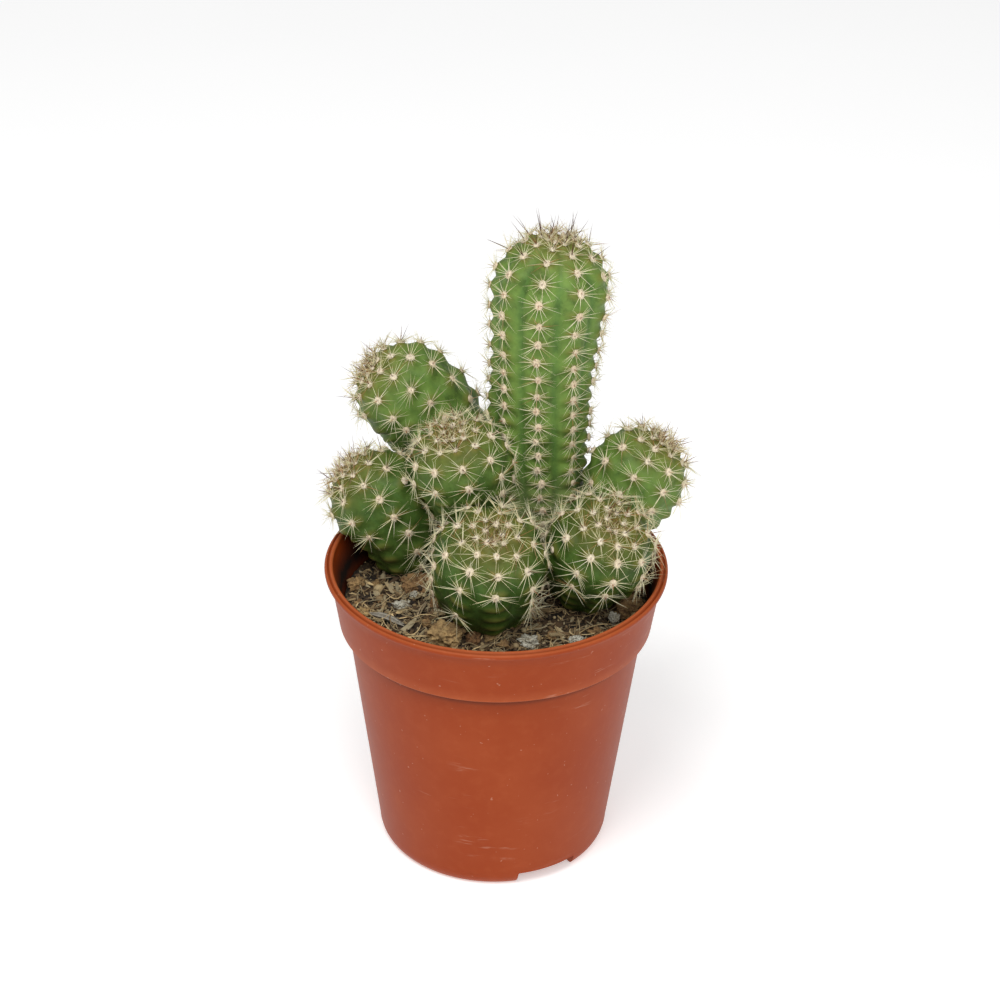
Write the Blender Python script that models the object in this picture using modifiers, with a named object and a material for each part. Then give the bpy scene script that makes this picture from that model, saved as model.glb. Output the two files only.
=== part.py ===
"""Potted peanut cactus: seven short ribbed stems in the soil of a 5.5 cm round plastic nursery pot.

The origin is the middle of the pot's underside, where the pot's axis meets the ground. +Z is up and
-Y is the front. Every stem is a separate solid that stands in its own socket in the soil.
"""

import math
import random
from collections import namedtuple

import bmesh
import bpy
from mathutils import Matrix, Vector

MM = 0.001

# Driving dimensions.
RIM_RADIUS = 27.5 * MM
POT_HEIGHT = 50.8 * MM
RIM_BAND = 1.4 * MM
LIP_HEIGHT = 1.2 * MM
COLLAR_TOP_RADIUS = 26.6 * MM
COLLAR_BOTTOM_RADIUS = 25.3 * MM
COLLAR_HEIGHT = 10.2 * MM
BODY_TOP_RADIUS = 23.9 * MM
BODY_BOTTOM_RADIUS = 19.1 * MM
FOOT_RADIUS = 17.4 * MM
FOOT_ROUNDING = 2.7 * MM
WALL = 0.8 * MM

# Underside: a flat hub, a raised drain channel round it, and a foot ring with two notches.
HUB_RADIUS = 9.6 * MM
FOOT_RING_WIDTH = 1.9 * MM
CHANNEL_RISE = 2.6 * MM
FLOOR = 1.0 * MM
DRAIN_HOLES = 6
DRAIN_HOLE_RADIUS = 1.7 * MM
NOTCH_ANGLES = (-61, 119)
NOTCH_WIDTH = 10.4 * MM
NOTCH_HEIGHT = 2.35 * MM

GAP = 0.3 * MM
SOIL_EDGE_HEIGHT = 43.6 * MM
SOIL_MOUND = 0.9 * MM

ROUND_STEPS = 60
RIB_DEPTH = 0.10
STEM_RINGS = 16
MAIN_STEM_RINGS = 22
TIP_RINGS = 5
BASE_RINGS = 2
TIP_ROUNDNESS = 0.94
BASE_FLATNESS = 0.35

# base, bend and tip are the points of a curve up the stem's middle, and tip is the centre of its round
# end. radii are read evenly from base to tip. turn is where the first rib stands, and twist how far the
# ribs have turned at the tip, both in degrees. Lengths are in millimetres.
Stem = namedtuple("Stem", "name base bend tip radii ribs turn twist rings")

STEMS = (
    Stem(
        "main_stem",
        (6.4, 14.2, 43.0), (5.5, 14.2, 66.0), (8.0, 14.7, 91.9),
        (6.0, 7.6, 7.9, 7.9, 8.2, 9.1), 9, -74, -30, MAIN_STEM_RINGS,
    ),
    Stem(
        "back_left_stem",
        (-5.6, 18.6, 43.0), (-6.5, 21.8, 63.1), (-15.3, 20.2, 70.6),
        (3.2, 5.2, 6.9, 7.9, 8.3, 8.1), 9, -60, 0, STEM_RINGS,
    ),
    Stem(
        "left_stem",
        (-14.0, 9.6, 43.0), (-14.0, 8.1, 52.1), (-19.2, 8.0, 57.6),
        (4.3, 5.5, 6.4, 7.0, 7.5, 7.9), 9, -70, 0, STEM_RINGS,
    ),
    Stem(
        "middle_left_stem",
        (-4.8, 4.8, 43.0), (-3.6, 5.6, 57.6), (-5.7, 3.0, 66.5),
        (2.8, 3.6, 4.6, 5.8, 7.1, 7.7), 9, -80, 0, STEM_RINGS,
    ),
    Stem(
        "front_stem",
        (-1.4, -4.7, 43.0), (-1.6, -7.6, 51.4), (-1.1, -10.7, 57.2),
        (4.2, 6.2, 7.6, 8.4, 8.7, 8.7), 9, -80, 0, STEM_RINGS,
    ),
    Stem(
        "front_right_stem",
        (13.3, 1.2, 43.0), (14.8, -3.4, 52.4), (16.3, -6.4, 57.7),
        (3.6, 5.0, 6.4, 7.5, 8.0, 8.0), 9, -75, 0, STEM_RINGS,
    ),
    Stem(
        "back_right_stem",
        (16.0, 11.2, 43.0), (18.9, 9.5, 55.5), (22.6, 9.9, 61.3),
        (2.6, 3.6, 4.7, 6.6, 7.6, 7.8), 9, -70, 0, STEM_RINGS,
    ),
)

# What lies on the soil, each with its place on the soil (x, y), its sizes and the way it points, in
# millimetres and degrees.
BARK_CHIPS = (
    ("bark_chip_left", (-12.4, 1.4), (4.6, 3.2, 1.8), 12),
    ("bark_chip_front", (-7.8, -13.6), (4.4, 3.2, 2.2), -20),
    ("bark_chip_right", (21.3, -4.4), (3.4, 3.4, 2.1), 70),
)
PERLITE_GRAINS = (
    ("perlite_grain_1", (-13.2, -1.1), (1.3, 1.1, 0.9), 10),
    ("perlite_grain_2", (-15.0, -4.4), (2.7, 1.5, 1.2), 5),
    ("perlite_grain_3", (5.2, -14.6), (3.2, 2.2, 1.7), 15),
    ("perlite_grain_4", (12.6, -13.6), (2.1, 1.6, 1.2), 0),
    ("perlite_grain_5", (18.8, -7.8), (1.7, 1.5, 1.9), 35),
)
SPLINTERS = (
    ("wood_splinter", (-17.2, -8.2), (6.2, 1.3, 0.9), -30),
    ("straw_piece", (-11.6, -5.4), (5.4, 0.7, 0.6), 80),
)

# Colour, roughness and metallic value of each material.
MATERIALS = {
    "pot_plastic": ((0.376, 0.072, 0.025), 0.42, 0.0),
    "potting_soil": ((0.060, 0.042, 0.028), 0.95, 0.0),
    "cactus_skin": ((0.070, 0.185, 0.045), 0.55, 0.0),
    "bark": ((0.190, 0.085, 0.036), 0.85, 0.0),
    "perlite": ((0.600, 0.580, 0.520), 0.90, 0.0),
    "dry_wood": ((0.300, 0.215, 0.120), 0.80, 0.0),
}


def clear_scene():
    for obj in list(bpy.data.objects):
        bpy.data.objects.remove(obj, do_unlink=True)


def new_collection(name):
    collection = bpy.data.collections.new(name)
    bpy.context.scene.collection.children.link(collection)
    return collection


def new_material(name):
    colour, roughness, metallic = MATERIALS[name]
    material = bpy.data.materials.new(name)
    material.use_nodes = True
    shader = material.node_tree.nodes["Principled BSDF"]
    shader.inputs["Base Color"].default_value = (*colour, 1.0)
    shader.inputs["Roughness"].default_value = roughness
    shader.inputs["Metallic"].default_value = metallic
    material.diffuse_color = (*colour, 1.0)
    return material


def new_object(name, mesh, collection, material=None):
    obj = bpy.data.objects.new(name, mesh)
    collection.objects.link(obj)
    if material:
        mesh.materials.append(material)
    return obj


def mesh_from(bm, name):
    mesh = bpy.data.meshes.new(name)
    bmesh.ops.recalc_face_normals(bm, faces=bm.faces)
    bm.to_mesh(mesh)
    bm.free()
    return mesh


def make_cutter(obj):
    obj.hide_render = True
    obj.display_type = "WIRE"
    return obj


def cut(obj, cutter):
    boolean = obj.modifiers.new(cutter.name, "BOOLEAN")
    boolean.operation = "DIFFERENCE"
    boolean.object = cutter


def turned(name, outline, collection, material):
    """A solid turned round the Z axis from (radius, height) points."""
    mesh = bpy.data.meshes.new(name)
    points = [(radius, 0.0, height) for radius, height in outline]
    edges = [(i, i + 1) for i in range(len(points) - 1)]
    mesh.from_pydata(points, edges, [])
    obj = new_object(name, mesh, collection, material)
    screw = obj.modifiers.new("Turn", "SCREW")
    screw.steps = ROUND_STEPS
    screw.render_steps = ROUND_STEPS
    screw.use_merge_vertices = True
    screw.merge_threshold = 0.00001
    screw.use_smooth_shade = True
    return obj


def wall_radius(height):
    """The outer radius of the tapered wall below the collar."""
    top = POT_HEIGHT - COLLAR_HEIGHT
    share = (height - FOOT_ROUNDING) / (top - FOOT_ROUNDING)
    return BODY_BOTTOM_RADIUS + share * (BODY_TOP_RADIUS - BODY_BOTTOM_RADIUS)


def pot_outline():
    """From the middle of the floor up the inside, over the lip, down the outside and under the foot."""
    step = POT_HEIGHT - COLLAR_HEIGHT
    channel_top = CHANNEL_RISE + FLOOR
    foot_inner = FOOT_RADIUS - FOOT_RING_WIDTH
    rim_inner = RIM_RADIUS - RIM_BAND
    inside = [
        (0.0, FLOOR),
        (HUB_RADIUS - FLOOR, FLOOR),
        (HUB_RADIUS - 0.4 * MM, channel_top),
        (wall_radius(channel_top) - WALL - 0.7 * MM, channel_top),
        (wall_radius(channel_top + 1.0 * MM) - WALL, channel_top + 1.0 * MM),
        (wall_radius(step) - WALL, step - 0.6 * MM),
        (COLLAR_BOTTOM_RADIUS - WALL, step + 0.6 * MM),
        (rim_inner - 0.25 * MM, POT_HEIGHT - LIP_HEIGHT),
        (rim_inner, POT_HEIGHT - 0.25 * MM),
    ]
    lip = [
        (rim_inner + 0.25 * MM, POT_HEIGHT),
        (RIM_RADIUS - 0.35 * MM, POT_HEIGHT),
        (RIM_RADIUS - 0.08 * MM, POT_HEIGHT - 0.15 * MM),
        (RIM_RADIUS, POT_HEIGHT - 0.45 * MM),
        (RIM_RADIUS - 0.1 * MM, POT_HEIGHT - 0.85 * MM),
        (COLLAR_TOP_RADIUS + 0.15 * MM, POT_HEIGHT - LIP_HEIGHT),
    ]
    outside = [
        (COLLAR_TOP_RADIUS, POT_HEIGHT - LIP_HEIGHT - 0.4 * MM),
        (COLLAR_BOTTOM_RADIUS, step + 0.3 * MM),
        (COLLAR_BOTTOM_RADIUS - 0.3 * MM, step),
        (BODY_TOP_RADIUS + 0.2 * MM, step - 0.25 * MM),
        (BODY_TOP_RADIUS, step - 0.6 * MM),
        (BODY_BOTTOM_RADIUS, FOOT_ROUNDING),
    ]
    rounding = []
    for quarter in range(1, 4):
        angle = math.radians(22.5 * quarter)
        reach = (BODY_BOTTOM_RADIUS - FOOT_RADIUS) * math.cos(angle)
        rounding.append((FOOT_RADIUS + reach, FOOT_ROUNDING * (1.0 - math.sin(angle))))
    underside = [
        (FOOT_RADIUS, 0.0),
        (foot_inner, 0.0),
        (foot_inner - 0.3 * MM, CHANNEL_RISE),
        (HUB_RADIUS + 0.3 * MM, CHANNEL_RISE),
        (HUB_RADIUS, 0.0),
        (0.0, 0.0),
    ]
    return inside + lip + outside + rounding + underside


def build_pot(parts, cutters):
    pot = turned("pot", pot_outline(), parts, new_material("pot_plastic"))
    for angle in NOTCH_ANGLES:
        bm = bmesh.new()
        bmesh.ops.create_cube(bm, size=1.0)
        size = (7.0 * MM, NOTCH_WIDTH, 2.0 * NOTCH_HEIGHT)
        bmesh.ops.scale(bm, vec=size, verts=bm.verts)
        notch = make_cutter(new_object(f"foot_notch_{angle}", mesh_from(bm, "foot_notch"), cutters))
        turn = math.radians(angle)
        notch.location = (FOOT_RADIUS * math.cos(turn), FOOT_RADIUS * math.sin(turn), 0.0)
        notch.rotation_euler.z = turn
        cut(pot, notch)
    ring = (HUB_RADIUS + FOOT_RADIUS - FOOT_RING_WIDTH) / 2.0
    for index in range(DRAIN_HOLES):
        turn = math.tau * (index + 0.5) / DRAIN_HOLES
        bm = bmesh.new()
        bmesh.ops.create_cone(
            bm,
            cap_ends=True,
            segments=20,
            radius1=DRAIN_HOLE_RADIUS,
            radius2=DRAIN_HOLE_RADIUS,
            depth=4.0 * FLOOR,
        )
        hole = make_cutter(new_object(f"drain_hole_{index + 1}", mesh_from(bm, "drain_hole"), cutters))
        hole.location = (ring * math.cos(turn), ring * math.sin(turn), CHANNEL_RISE + FLOOR / 2.0)
        cut(pot, hole)
    return pot


def soil_height(radius):
    """The height of the soil's gently mounded top at a distance from the pot's axis."""
    share = min(radius / COLLAR_BOTTOM_RADIUS, 1.0)
    return SOIL_EDGE_HEIGHT + SOIL_MOUND * (0.5 + 0.5 * math.cos(math.pi * share))


def soil_outline():
    """From the middle of the top outwards, down the pot's wall and in over its floor."""
    step = POT_HEIGHT - COLLAR_HEIGHT
    edge = COLLAR_BOTTOM_RADIUS - WALL - GAP
    channel_top = CHANNEL_RISE + FLOOR
    low = channel_top + 1.0 * MM
    top = [(edge * share, soil_height(edge * share)) for share in (0.0, 0.2, 0.4, 0.6, 0.8, 0.93)]
    side = [
        (edge, SOIL_EDGE_HEIGHT - 0.5 * MM),
        (edge, step + 0.8 * MM),
        (wall_radius(step) - WALL - GAP, step - 0.6 * MM),
        (wall_radius(low) - WALL - GAP, low + 0.2 * MM),
        (wall_radius(low) - WALL - 1.1 * MM, channel_top + GAP),
        (HUB_RADIUS - 0.8 * MM, channel_top + GAP),
        (HUB_RADIUS - FLOOR - GAP, FLOOR + GAP),
        (0.0, FLOOR + GAP),
    ]
    return top + side


def read_radius(stem, share):
    place = share * (len(stem.radii) - 1)
    index = min(int(place), len(stem.radii) - 2)
    low, high = stem.radii[index], stem.radii[index + 1]
    return (low + (high - low) * (place - index)) * MM


def axis_point(stem, share):
    base, bend, tip = (Vector(point) * MM for point in (stem.base, stem.bend, stem.tip))
    return base * (1 - share) ** 2 + bend * 2 * share * (1 - share) + tip * share**2


def axis_direction(stem, share):
    base, bend, tip = (Vector(point) * MM for point in (stem.base, stem.bend, stem.tip))
    return ((bend - base) * (1 - share) + (tip - bend) * share).normalized()


def stem_mesh(stem, segments, rib_depth, clearance):
    """A ball drawn out along the stem's curve: a blunt base, a shaft with ribs, and a round tip."""
    bm = bmesh.new()
    bmesh.ops.create_uvsphere(bm, u_segments=segments, v_segments=stem.rings, radius=1.0)
    base_share = BASE_RINGS / stem.rings
    tip_share = 1.0 - TIP_RINGS / stem.rings
    for vert in bm.verts:
        height = max(-1.0, min(1.0, vert.co.z))
        place = math.asin(height) / math.pi + 0.5
        longitude = math.atan2(vert.co.y, vert.co.x)
        if place < base_share:
            share, quarter = 0.0, (1.0 - place / base_share) * math.pi / 2.0
            past = -BASE_FLATNESS * math.sin(quarter)
        elif place > tip_share:
            share, quarter = 1.0, (place - tip_share) / (1.0 - tip_share) * math.pi / 2.0
            past = TIP_ROUNDNESS * math.sin(quarter)
        else:
            share, quarter = (place - base_share) / (tip_share - base_share), 0.0
            past = 0.0
        full = read_radius(stem, share) + clearance
        groove = 0.5 - 0.5 * math.cos(stem.ribs * longitude)
        radius = full * math.cos(quarter) * (1.0 - rib_depth * groove)
        upward = axis_direction(stem, share)
        right = Vector((0.0, 1.0, 0.0)).cross(upward).normalized()
        back = upward.cross(right)
        angle = longitude + math.radians(stem.turn + stem.twist * share)
        around = right * math.cos(angle) + back * math.sin(angle)
        vert.co = axis_point(stem, share) + upward * (full * past) + around * radius
    return mesh_from(bm, stem.name)


def build_stems(parts):
    skin = new_material("cactus_skin")
    for stem in STEMS:
        mesh = stem_mesh(stem, 4 * stem.ribs, RIB_DEPTH, 0.0)
        mesh.shade_smooth()
        new_object(stem.name, mesh, parts, skin)


def build_soil(parts, cutters):
    soil = turned("soil", soil_outline(), parts, new_material("potting_soil"))
    for stem in STEMS:
        mesh = stem_mesh(stem, 20, 0.0, GAP)
        cut(soil, make_cutter(new_object(stem.name + "_socket", mesh, cutters)))
    return soil


def lay_on_soil(obj, place, height, turn):
    """Sets a piece down on the soil, a small gap above it."""
    x, y = place[0] * MM, place[1] * MM
    obj.location = (x, y, soil_height(math.hypot(x, y)) + height / 2.0 + 1.5 * GAP)
    obj.rotation_euler.z = math.radians(turn)


def build_bark(parts):
    bark = new_material("bark")
    for seed, (name, place, size, turn) in enumerate(BARK_CHIPS):
        shape = random.Random(seed)
        size = [length * MM for length in size]
        bm = bmesh.new()
        bmesh.ops.create_cube(bm, size=1.0)
        bmesh.ops.scale(bm, vec=size, verts=bm.verts)
        for vert in bm.verts:
            vert.co.x *= shape.uniform(0.7, 1.0)
            vert.co.y *= shape.uniform(0.7, 1.0)
        chip = new_object(name, mesh_from(bm, name), parts, bark)
        bevel = chip.modifiers.new("Worn edges", "BEVEL")
        bevel.width = 0.35 * MM
        bevel.segments = 2
        lay_on_soil(chip, place, size[2], turn)


def build_perlite(parts):
    perlite = new_material("perlite")
    for seed, (name, place, size, turn) in enumerate(PERLITE_GRAINS):
        shape = random.Random(seed)
        bm = bmesh.new()
        bmesh.ops.create_icosphere(bm, subdivisions=2, radius=0.5)
        for vert in bm.verts:
            vert.co *= shape.uniform(0.86, 1.0)
        bmesh.ops.scale(bm, vec=[length * MM for length in size], verts=bm.verts)
        grain = new_object(name, mesh_from(bm, name), parts, perlite)
        lay_on_soil(grain, place, size[2] * MM, turn)


def build_splinters(parts):
    wood = new_material("dry_wood")
    for name, place, size, turn in SPLINTERS:
        length, width, height = (value * MM for value in size)
        bm = bmesh.new()
        lying = Matrix.Rotation(math.pi / 2.0, 4, "Y")
        bmesh.ops.create_cone(
            bm,
            cap_ends=True,
            segments=8,
            radius1=0.5,
            radius2=0.3,
            depth=length,
            matrix=lying,
        )
        bmesh.ops.scale(bm, vec=(1.0, width, height), verts=bm.verts)
        splinter = new_object(name, mesh_from(bm, name), parts, wood)
        lay_on_soil(splinter, place, height, turn)


def main():
    clear_scene()
    parts = new_collection("potted_peanut_cactus")
    cutters = new_collection("cutters")
    build_pot(parts, cutters)
    build_soil(parts, cutters)
    build_stems(parts)
    build_bark(parts)
    build_perlite(parts)
    build_splinters(parts)


main()
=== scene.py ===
"""Looks of the potted peanut cactus: a terracotta-coloured nursery pot, its potting mix, seven
ribbed stems with felt cushions and spines, and the bits that lie on the soil.

It is laid out as a Blender add-on and is run as a script. Every length is in metres, in the frame
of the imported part: the origin is the middle of the pot's underside, +Z is up and -Y is the front.
"""

import math
from collections import namedtuple

import bpy
import numpy as np
from bpy.props import FloatProperty, FloatVectorProperty, IntProperty, PointerProperty
from mathutils import Matrix, Vector, noise


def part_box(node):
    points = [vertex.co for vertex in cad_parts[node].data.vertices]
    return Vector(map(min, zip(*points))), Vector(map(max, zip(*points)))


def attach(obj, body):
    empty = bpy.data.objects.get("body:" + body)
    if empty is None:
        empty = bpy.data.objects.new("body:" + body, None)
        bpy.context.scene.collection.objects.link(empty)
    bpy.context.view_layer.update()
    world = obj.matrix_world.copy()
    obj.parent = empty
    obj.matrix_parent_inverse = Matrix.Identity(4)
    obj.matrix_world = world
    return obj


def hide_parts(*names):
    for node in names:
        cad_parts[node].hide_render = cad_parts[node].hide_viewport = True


bl_info = {
    "name": "Potted peanut cactus",
    "version": (1, 0, 0),
    "blender": (4, 5, 0),
    "location": "3D View > Sidebar > Cactus",
    "description": "Builds a potted peanut cactus round its packed part",
    "category": "Add Mesh",
}

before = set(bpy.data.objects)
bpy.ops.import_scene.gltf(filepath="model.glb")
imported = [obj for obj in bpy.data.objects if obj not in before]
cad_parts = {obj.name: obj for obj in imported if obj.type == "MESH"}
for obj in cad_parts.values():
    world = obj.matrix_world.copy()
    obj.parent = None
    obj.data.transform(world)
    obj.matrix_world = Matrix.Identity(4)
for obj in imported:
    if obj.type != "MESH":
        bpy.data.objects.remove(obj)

MM = 0.001
BODY = "root"

POT_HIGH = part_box("pot")[1]

# base, bend and tip are the points of a curve up the middle of the stem, and tip is the centre of
# its round end. radii are read evenly from base to tip. turn is where the first rib stands and
# twist is how far the ribs have turned at the tip, in degrees. pale goes from a deep green, 0, to a
# light one, 1. pitch is the way between two cushions on a rib near the tip, at mid height and at
# the base, and reach is how long the side spines are there. Lengths are in millimetres.
# pale is partly each stem's own tone and partly painted light and shade: the low stems are given a
# deeper green, the tall ones a lighter one.
Stem = namedtuple("Stem", "name base bend tip radii ribs turn twist pale pitch reach seed")

STEMS = (
    Stem(
        "main_stem",
        (6.4, 14.2, 43.0), (5.5, 14.2, 66.0), (8.0, 14.7, 91.9),
        (6.0, 7.6, 7.9, 7.9, 8.2, 9.1), 9, -74, -30, 1.0, (3.3, 2.5, 2.3), (2.3, 1.9, 1.9), 11,
    ),
    Stem(
        "back_left_stem",
        (-5.6, 18.6, 43.0), (-6.5, 21.8, 63.1), (-15.3, 20.2, 70.6),
        (3.2, 5.2, 6.9, 7.9, 8.3, 8.1), 9, -60, 0, 0.80, (3.4, 3.4, 3.0), (2.5, 2.6, 2.4), 12,
    ),
    Stem(
        "left_stem",
        (-14.0, 9.6, 43.0), (-14.0, 8.1, 52.1), (-19.2, 8.0, 57.6),
        (4.3, 5.5, 6.4, 7.0, 7.5, 7.9), 9, -70, 0, 0.32, (3.3, 3.4, 3.0), (2.6, 2.7, 2.4), 13,
    ),
    Stem(
        "middle_left_stem",
        (-4.8, 4.8, 43.0), (-3.6, 5.6, 57.6), (-5.7, 3.0, 66.5),
        (2.8, 3.6, 4.6, 5.8, 7.1, 7.7), 9, -80, 0, 0.40, (3.3, 3.3, 3.0), (2.5, 2.6, 2.4), 14,
    ),
    Stem(
        "front_stem",
        (-1.4, -4.7, 43.0), (-1.6, -7.6, 51.4), (-1.1, -10.7, 57.2),
        (4.2, 6.2, 7.6, 8.4, 8.7, 8.7), 9, -80, 0, 0.10, (3.4, 3.5, 3.0), (2.7, 2.8, 2.6), 15,
    ),
    Stem(
        "front_right_stem",
        (13.3, 1.2, 43.0), (14.8, -3.4, 52.4), (16.3, -6.4, 57.7),
        (3.6, 5.0, 6.4, 7.5, 8.0, 8.0), 9, -75, 0, 0.12, (3.3, 3.5, 3.0), (2.7, 2.8, 2.6), 16,
    ),
    Stem(
        "back_right_stem",
        (16.0, 11.2, 43.0), (18.9, 9.5, 55.5), (22.6, 9.9, 61.3),
        (2.6, 3.6, 4.7, 6.6, 7.6, 7.8), 9, -70, 0, 0.8, (3.3, 3.4, 3.0), (2.5, 2.6, 2.4), 17,
    ),
)

# Pieces on the soil: the node that each stands for, its length, width and thickness, its turn, and
# how light it is, from 0 to 1.
BARK_CHIPS = (
    ("bark_chip_left", (4.8, 3.3, 1.9), 12, 0.30),
    ("bark_chip_front", (4.6, 3.4, 2.5), -20, 0.80),
    ("bark_chip_right", (3.5, 3.5, 2.2), 70, 0.50),
)
# Smaller lumps: the place on the soil, x and y, the size, and how light it is.
BARK_LUMPS = (
    (-9.4, -4.4, 2.6, 0.35), (-3.4, -13.4, 2.5, 0.10), (-22.6, 2.6, 2.6, 0.60),
    (-21.0, -6.0, 2.0, 0.90), (-1.0, -13.0, 1.8, 0.75), (8.8, -12.6, 1.7, 0.50),
    (16.0, -10.4, 1.9, 0.40), (-10.8, -9.4, 1.6, 0.55), (-18.6, -1.0, 1.7, 0.30),
    (9.4, -15.6, 1.6, 0.80), (1.4, -15.2, 1.5, 0.45), (23.0, 2.4, 2.0, 0.35),
    (-19.4, 3.2, 1.5, 0.75), (-5.4, -17.4, 1.8, 0.30), (6.4, -4.0, 2.0, 0.30),
    (-22.0, -2.0, 1.4, 0.50), (-13.6, 19.4, 2.4, 0.40), (3.6, 23.0, 2.2, 0.70),
    (14.6, 18.4, 2.4, 0.30), (22.4, 7.8, 1.6, 0.55),
)
PERLITE_GRAINS = (
    "perlite_grain_1", "perlite_grain_2", "perlite_grain_3", "perlite_grain_4", "perlite_grain_5",
)
SPLINTERS = (
    ("wood_splinter", (6.2, 1.3, 0.9), -30, 0.1),
    ("straw_piece", (5.4, 0.7, 0.6), 80, 0.8),
)

# How near a spine may come to another stem, the pot's wall and the soil before it is left out.
STEM_ROOM = 0.3 * MM
WALL_ROOM = 0.1 * MM
SOIL_ROOM = -0.2 * MM
# A cushion needs more room, and none is set where the skin faces down.
CUSHION_ROOM = 1.0 * MM
CUSHION_HEIGHT = 2.9 * MM
LOWEST_FACING = -0.42
# How far out from a cushion its open space is tested.
OPEN_REACHES = (1.5 * MM, 3.0 * MM, 4.5 * MM)

# Radius of the first and the last ring of a turned shape, which are then closed at the axis.
CENTRE_HOLE = 3.0 * MM

# Where the key light and the fill light stand, how wide they are, and their power.
LIGHTS = (
    ("key_light", (-0.16, -0.36, 0.80), 0.40, 3.8),
    ("fill_light", (0.24, -0.62, 0.62), 0.60, 2.6),
)
LIGHTS_AIM = (0.0, 0.0, 0.055)


# ---------------------------------------------------------------- settings


def length_property(name, description, default):
    return FloatProperty(
        name=name,
        description=description,
        default=default,
        unit="LENGTH",
        subtype="DISTANCE",
        precision=5,
    )


def colour_property(name, description, default):
    return FloatVectorProperty(
        name=name,
        description=description,
        default=default,
        size=3,
        subtype="COLOR",
        min=0.0,
        max=1.0,
    )


def share_property(name, description, default):
    return FloatProperty(name=name, description=description, default=default, subtype="FACTOR")


def angle_property(name, description, default):
    return FloatProperty(name=name, description=description, default=default, subtype="ANGLE")


def count_property(name, description, default):
    return IntProperty(name=name, description=description, default=default, min=0)


class PotSettings(bpy.types.PropertyGroup):
    rim_radius: length_property("Rim radius", "Outside radius of the lip", POT_HIGH.x)
    height: length_property("Height", "From the ground to the top of the lip", POT_HIGH.z)
    rim_band: length_property("Rim width", "Width of the flat top of the lip", 1.4 * MM)
    lip_height: length_property("Lip height", "Height of the lip's outside band", 1.2 * MM)
    collar_top: length_property("Collar top radius", "Outside radius under the lip", 26.6 * MM)
    collar_bottom: length_property("Collar bottom radius", "Outside radius at the step", 25.3 * MM)
    collar_height: length_property("Collar height", "From the step to the lip's top", 10.2 * MM)
    body_top: length_property("Body top radius", "Outside radius just under the step", 23.9 * MM)
    body_bottom: length_property("Body bottom radius", "Outside radius above the foot", 19.1 * MM)
    foot_radius: length_property("Foot radius", "Outside radius on the ground", 17.4 * MM)
    foot_rounding: length_property("Foot rounding", "Height of the round foot", 2.7 * MM)
    wall: length_property("Wall", "Thickness of the wall", 0.8 * MM)
    hub_radius: length_property("Hub radius", "Radius of the flat hub under the floor", 9.6 * MM)
    foot_ring: length_property("Foot ring", "Width of the ring that the pot stands on", 1.9 * MM)
    channel_rise: length_property("Channel rise", "Height of the drain channel", 2.6 * MM)
    floor: length_property("Floor", "Thickness of the floor", 1.0 * MM)
    drain_hole: length_property("Drain hole radius", "Radius of each hole in the channel", 1.7 * MM)
    drain_holes: count_property("Drain holes", "Number of holes", 6)
    notch_width: length_property("Notch width", "Width of each notch in the foot", 10.4 * MM)
    notch_height: length_property("Notch height", "Height of each notch in the foot", 2.35 * MM)
    notch_angle: angle_property("Notch angle", "Where the front notch stands", math.radians(-61.0))
    round_steps: count_property("Round steps", "Faces round the pot", 192)
    colour: colour_property("Plastic", "The moulded plastic", (0.290, 0.041, 0.0048))
    # Worn plastic is the rubbed plastic and its random lighter tone, and also serves as a painted
    # highlight along the lip and the collar edge.
    worn_and_highlight_colour: colour_property("Worn plastic", "The rubbed plastic", (0.56, 0.150, 0.052))
    scuff_colour: colour_property("Scuffs", "Scratches and dried drops", (0.66, 0.40, 0.29))
    # Painted shade: this dark colour is painted in a line under the step, in the groove on the lip
    # and under the lip.
    crease_shade_colour: colour_property("Creases", "The line under the step", (0.060, 0.012, 0.004))
    # Grime is soil stuck on the inner wall, together with painted shade from just under the rim
    # down.
    grime_and_shade_colour: colour_property("Grime", "Soil on the inner wall", (0.022, 0.014, 0.011))


class SoilSettings(bpy.types.PropertyGroup):
    edge_height: length_property("Edge height", "Height of the soil at the wall", 43.6 * MM)
    mound: length_property("Mound", "How much higher the middle is", 1.5 * MM)
    heap: length_property("Heap", "How far the soil rises against a stem", 1.1 * MM)
    roughness: length_property("Crumb height", "Height of the lumps in the soil", 0.75 * MM)
    crumbs: count_property("Crumbs", "Loose crumbs on the soil", 2600)
    slivers: count_property("Slivers", "Flat slivers of bark and wood", 780)
    fibres: count_property("Fibres", "Thin straws and fibres", 900)
    # Damp peat, also used as painted shade in the gaps and hollows of the soil.
    dark: colour_property("Damp peat", "Colour in the gaps", (0.010, 0.008, 0.006))
    brown: colour_property("Brown peat", "Colour of most crumbs", (0.135, 0.078, 0.034))
    tan: colour_property("Dry straw", "Colour of dry fibres", (0.50, 0.37, 0.185))
    grey: colour_property("Weathered wood", "Colour of old slivers", (0.34, 0.285, 0.175))


class StemSettings(bpy.types.PropertyGroup):
    segments_per_rib: count_property("Faces per rib", "Faces across a rib", 14)
    rib_swell: share_property("Rib swell", "Depth of the wide hollow between ribs", 0.036)
    groove: share_property("Groove", "Depth of the narrow line between ribs", 0.05)
    tubercle: length_property("Tubercle", "How far each bump stands out", 0.5 * MM)
    hollow: length_property("Hollow", "How deep the rib dips between two bumps", 0.16 * MM)
    # The deep and light greens are mixed per stem by pale: partly the stems' own tone, partly
    # painted shade on the low stems and painted light on the tall ones.
    deep_green: colour_property("Deep green", "Skin of the low stems", (0.028, 0.064, 0.006))
    light_green: colour_property("Light green", "Skin of the tall stems", (0.140, 0.232, 0.046))
    groove_green: colour_property("Groove green", "Green in the grooves", (0.060, 0.150, 0.034))
    olive: colour_property("Olive", "Sides of the bumps and young skin", (0.190, 0.170, 0.035))
    # Cork is the old dry skin at the foot, made lighter as painted light where the foot of the main
    # stem lies in shade.
    cork_and_painted_light: colour_property("Cork", "Old dry skin near the soil", (0.42, 0.40, 0.22))


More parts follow.
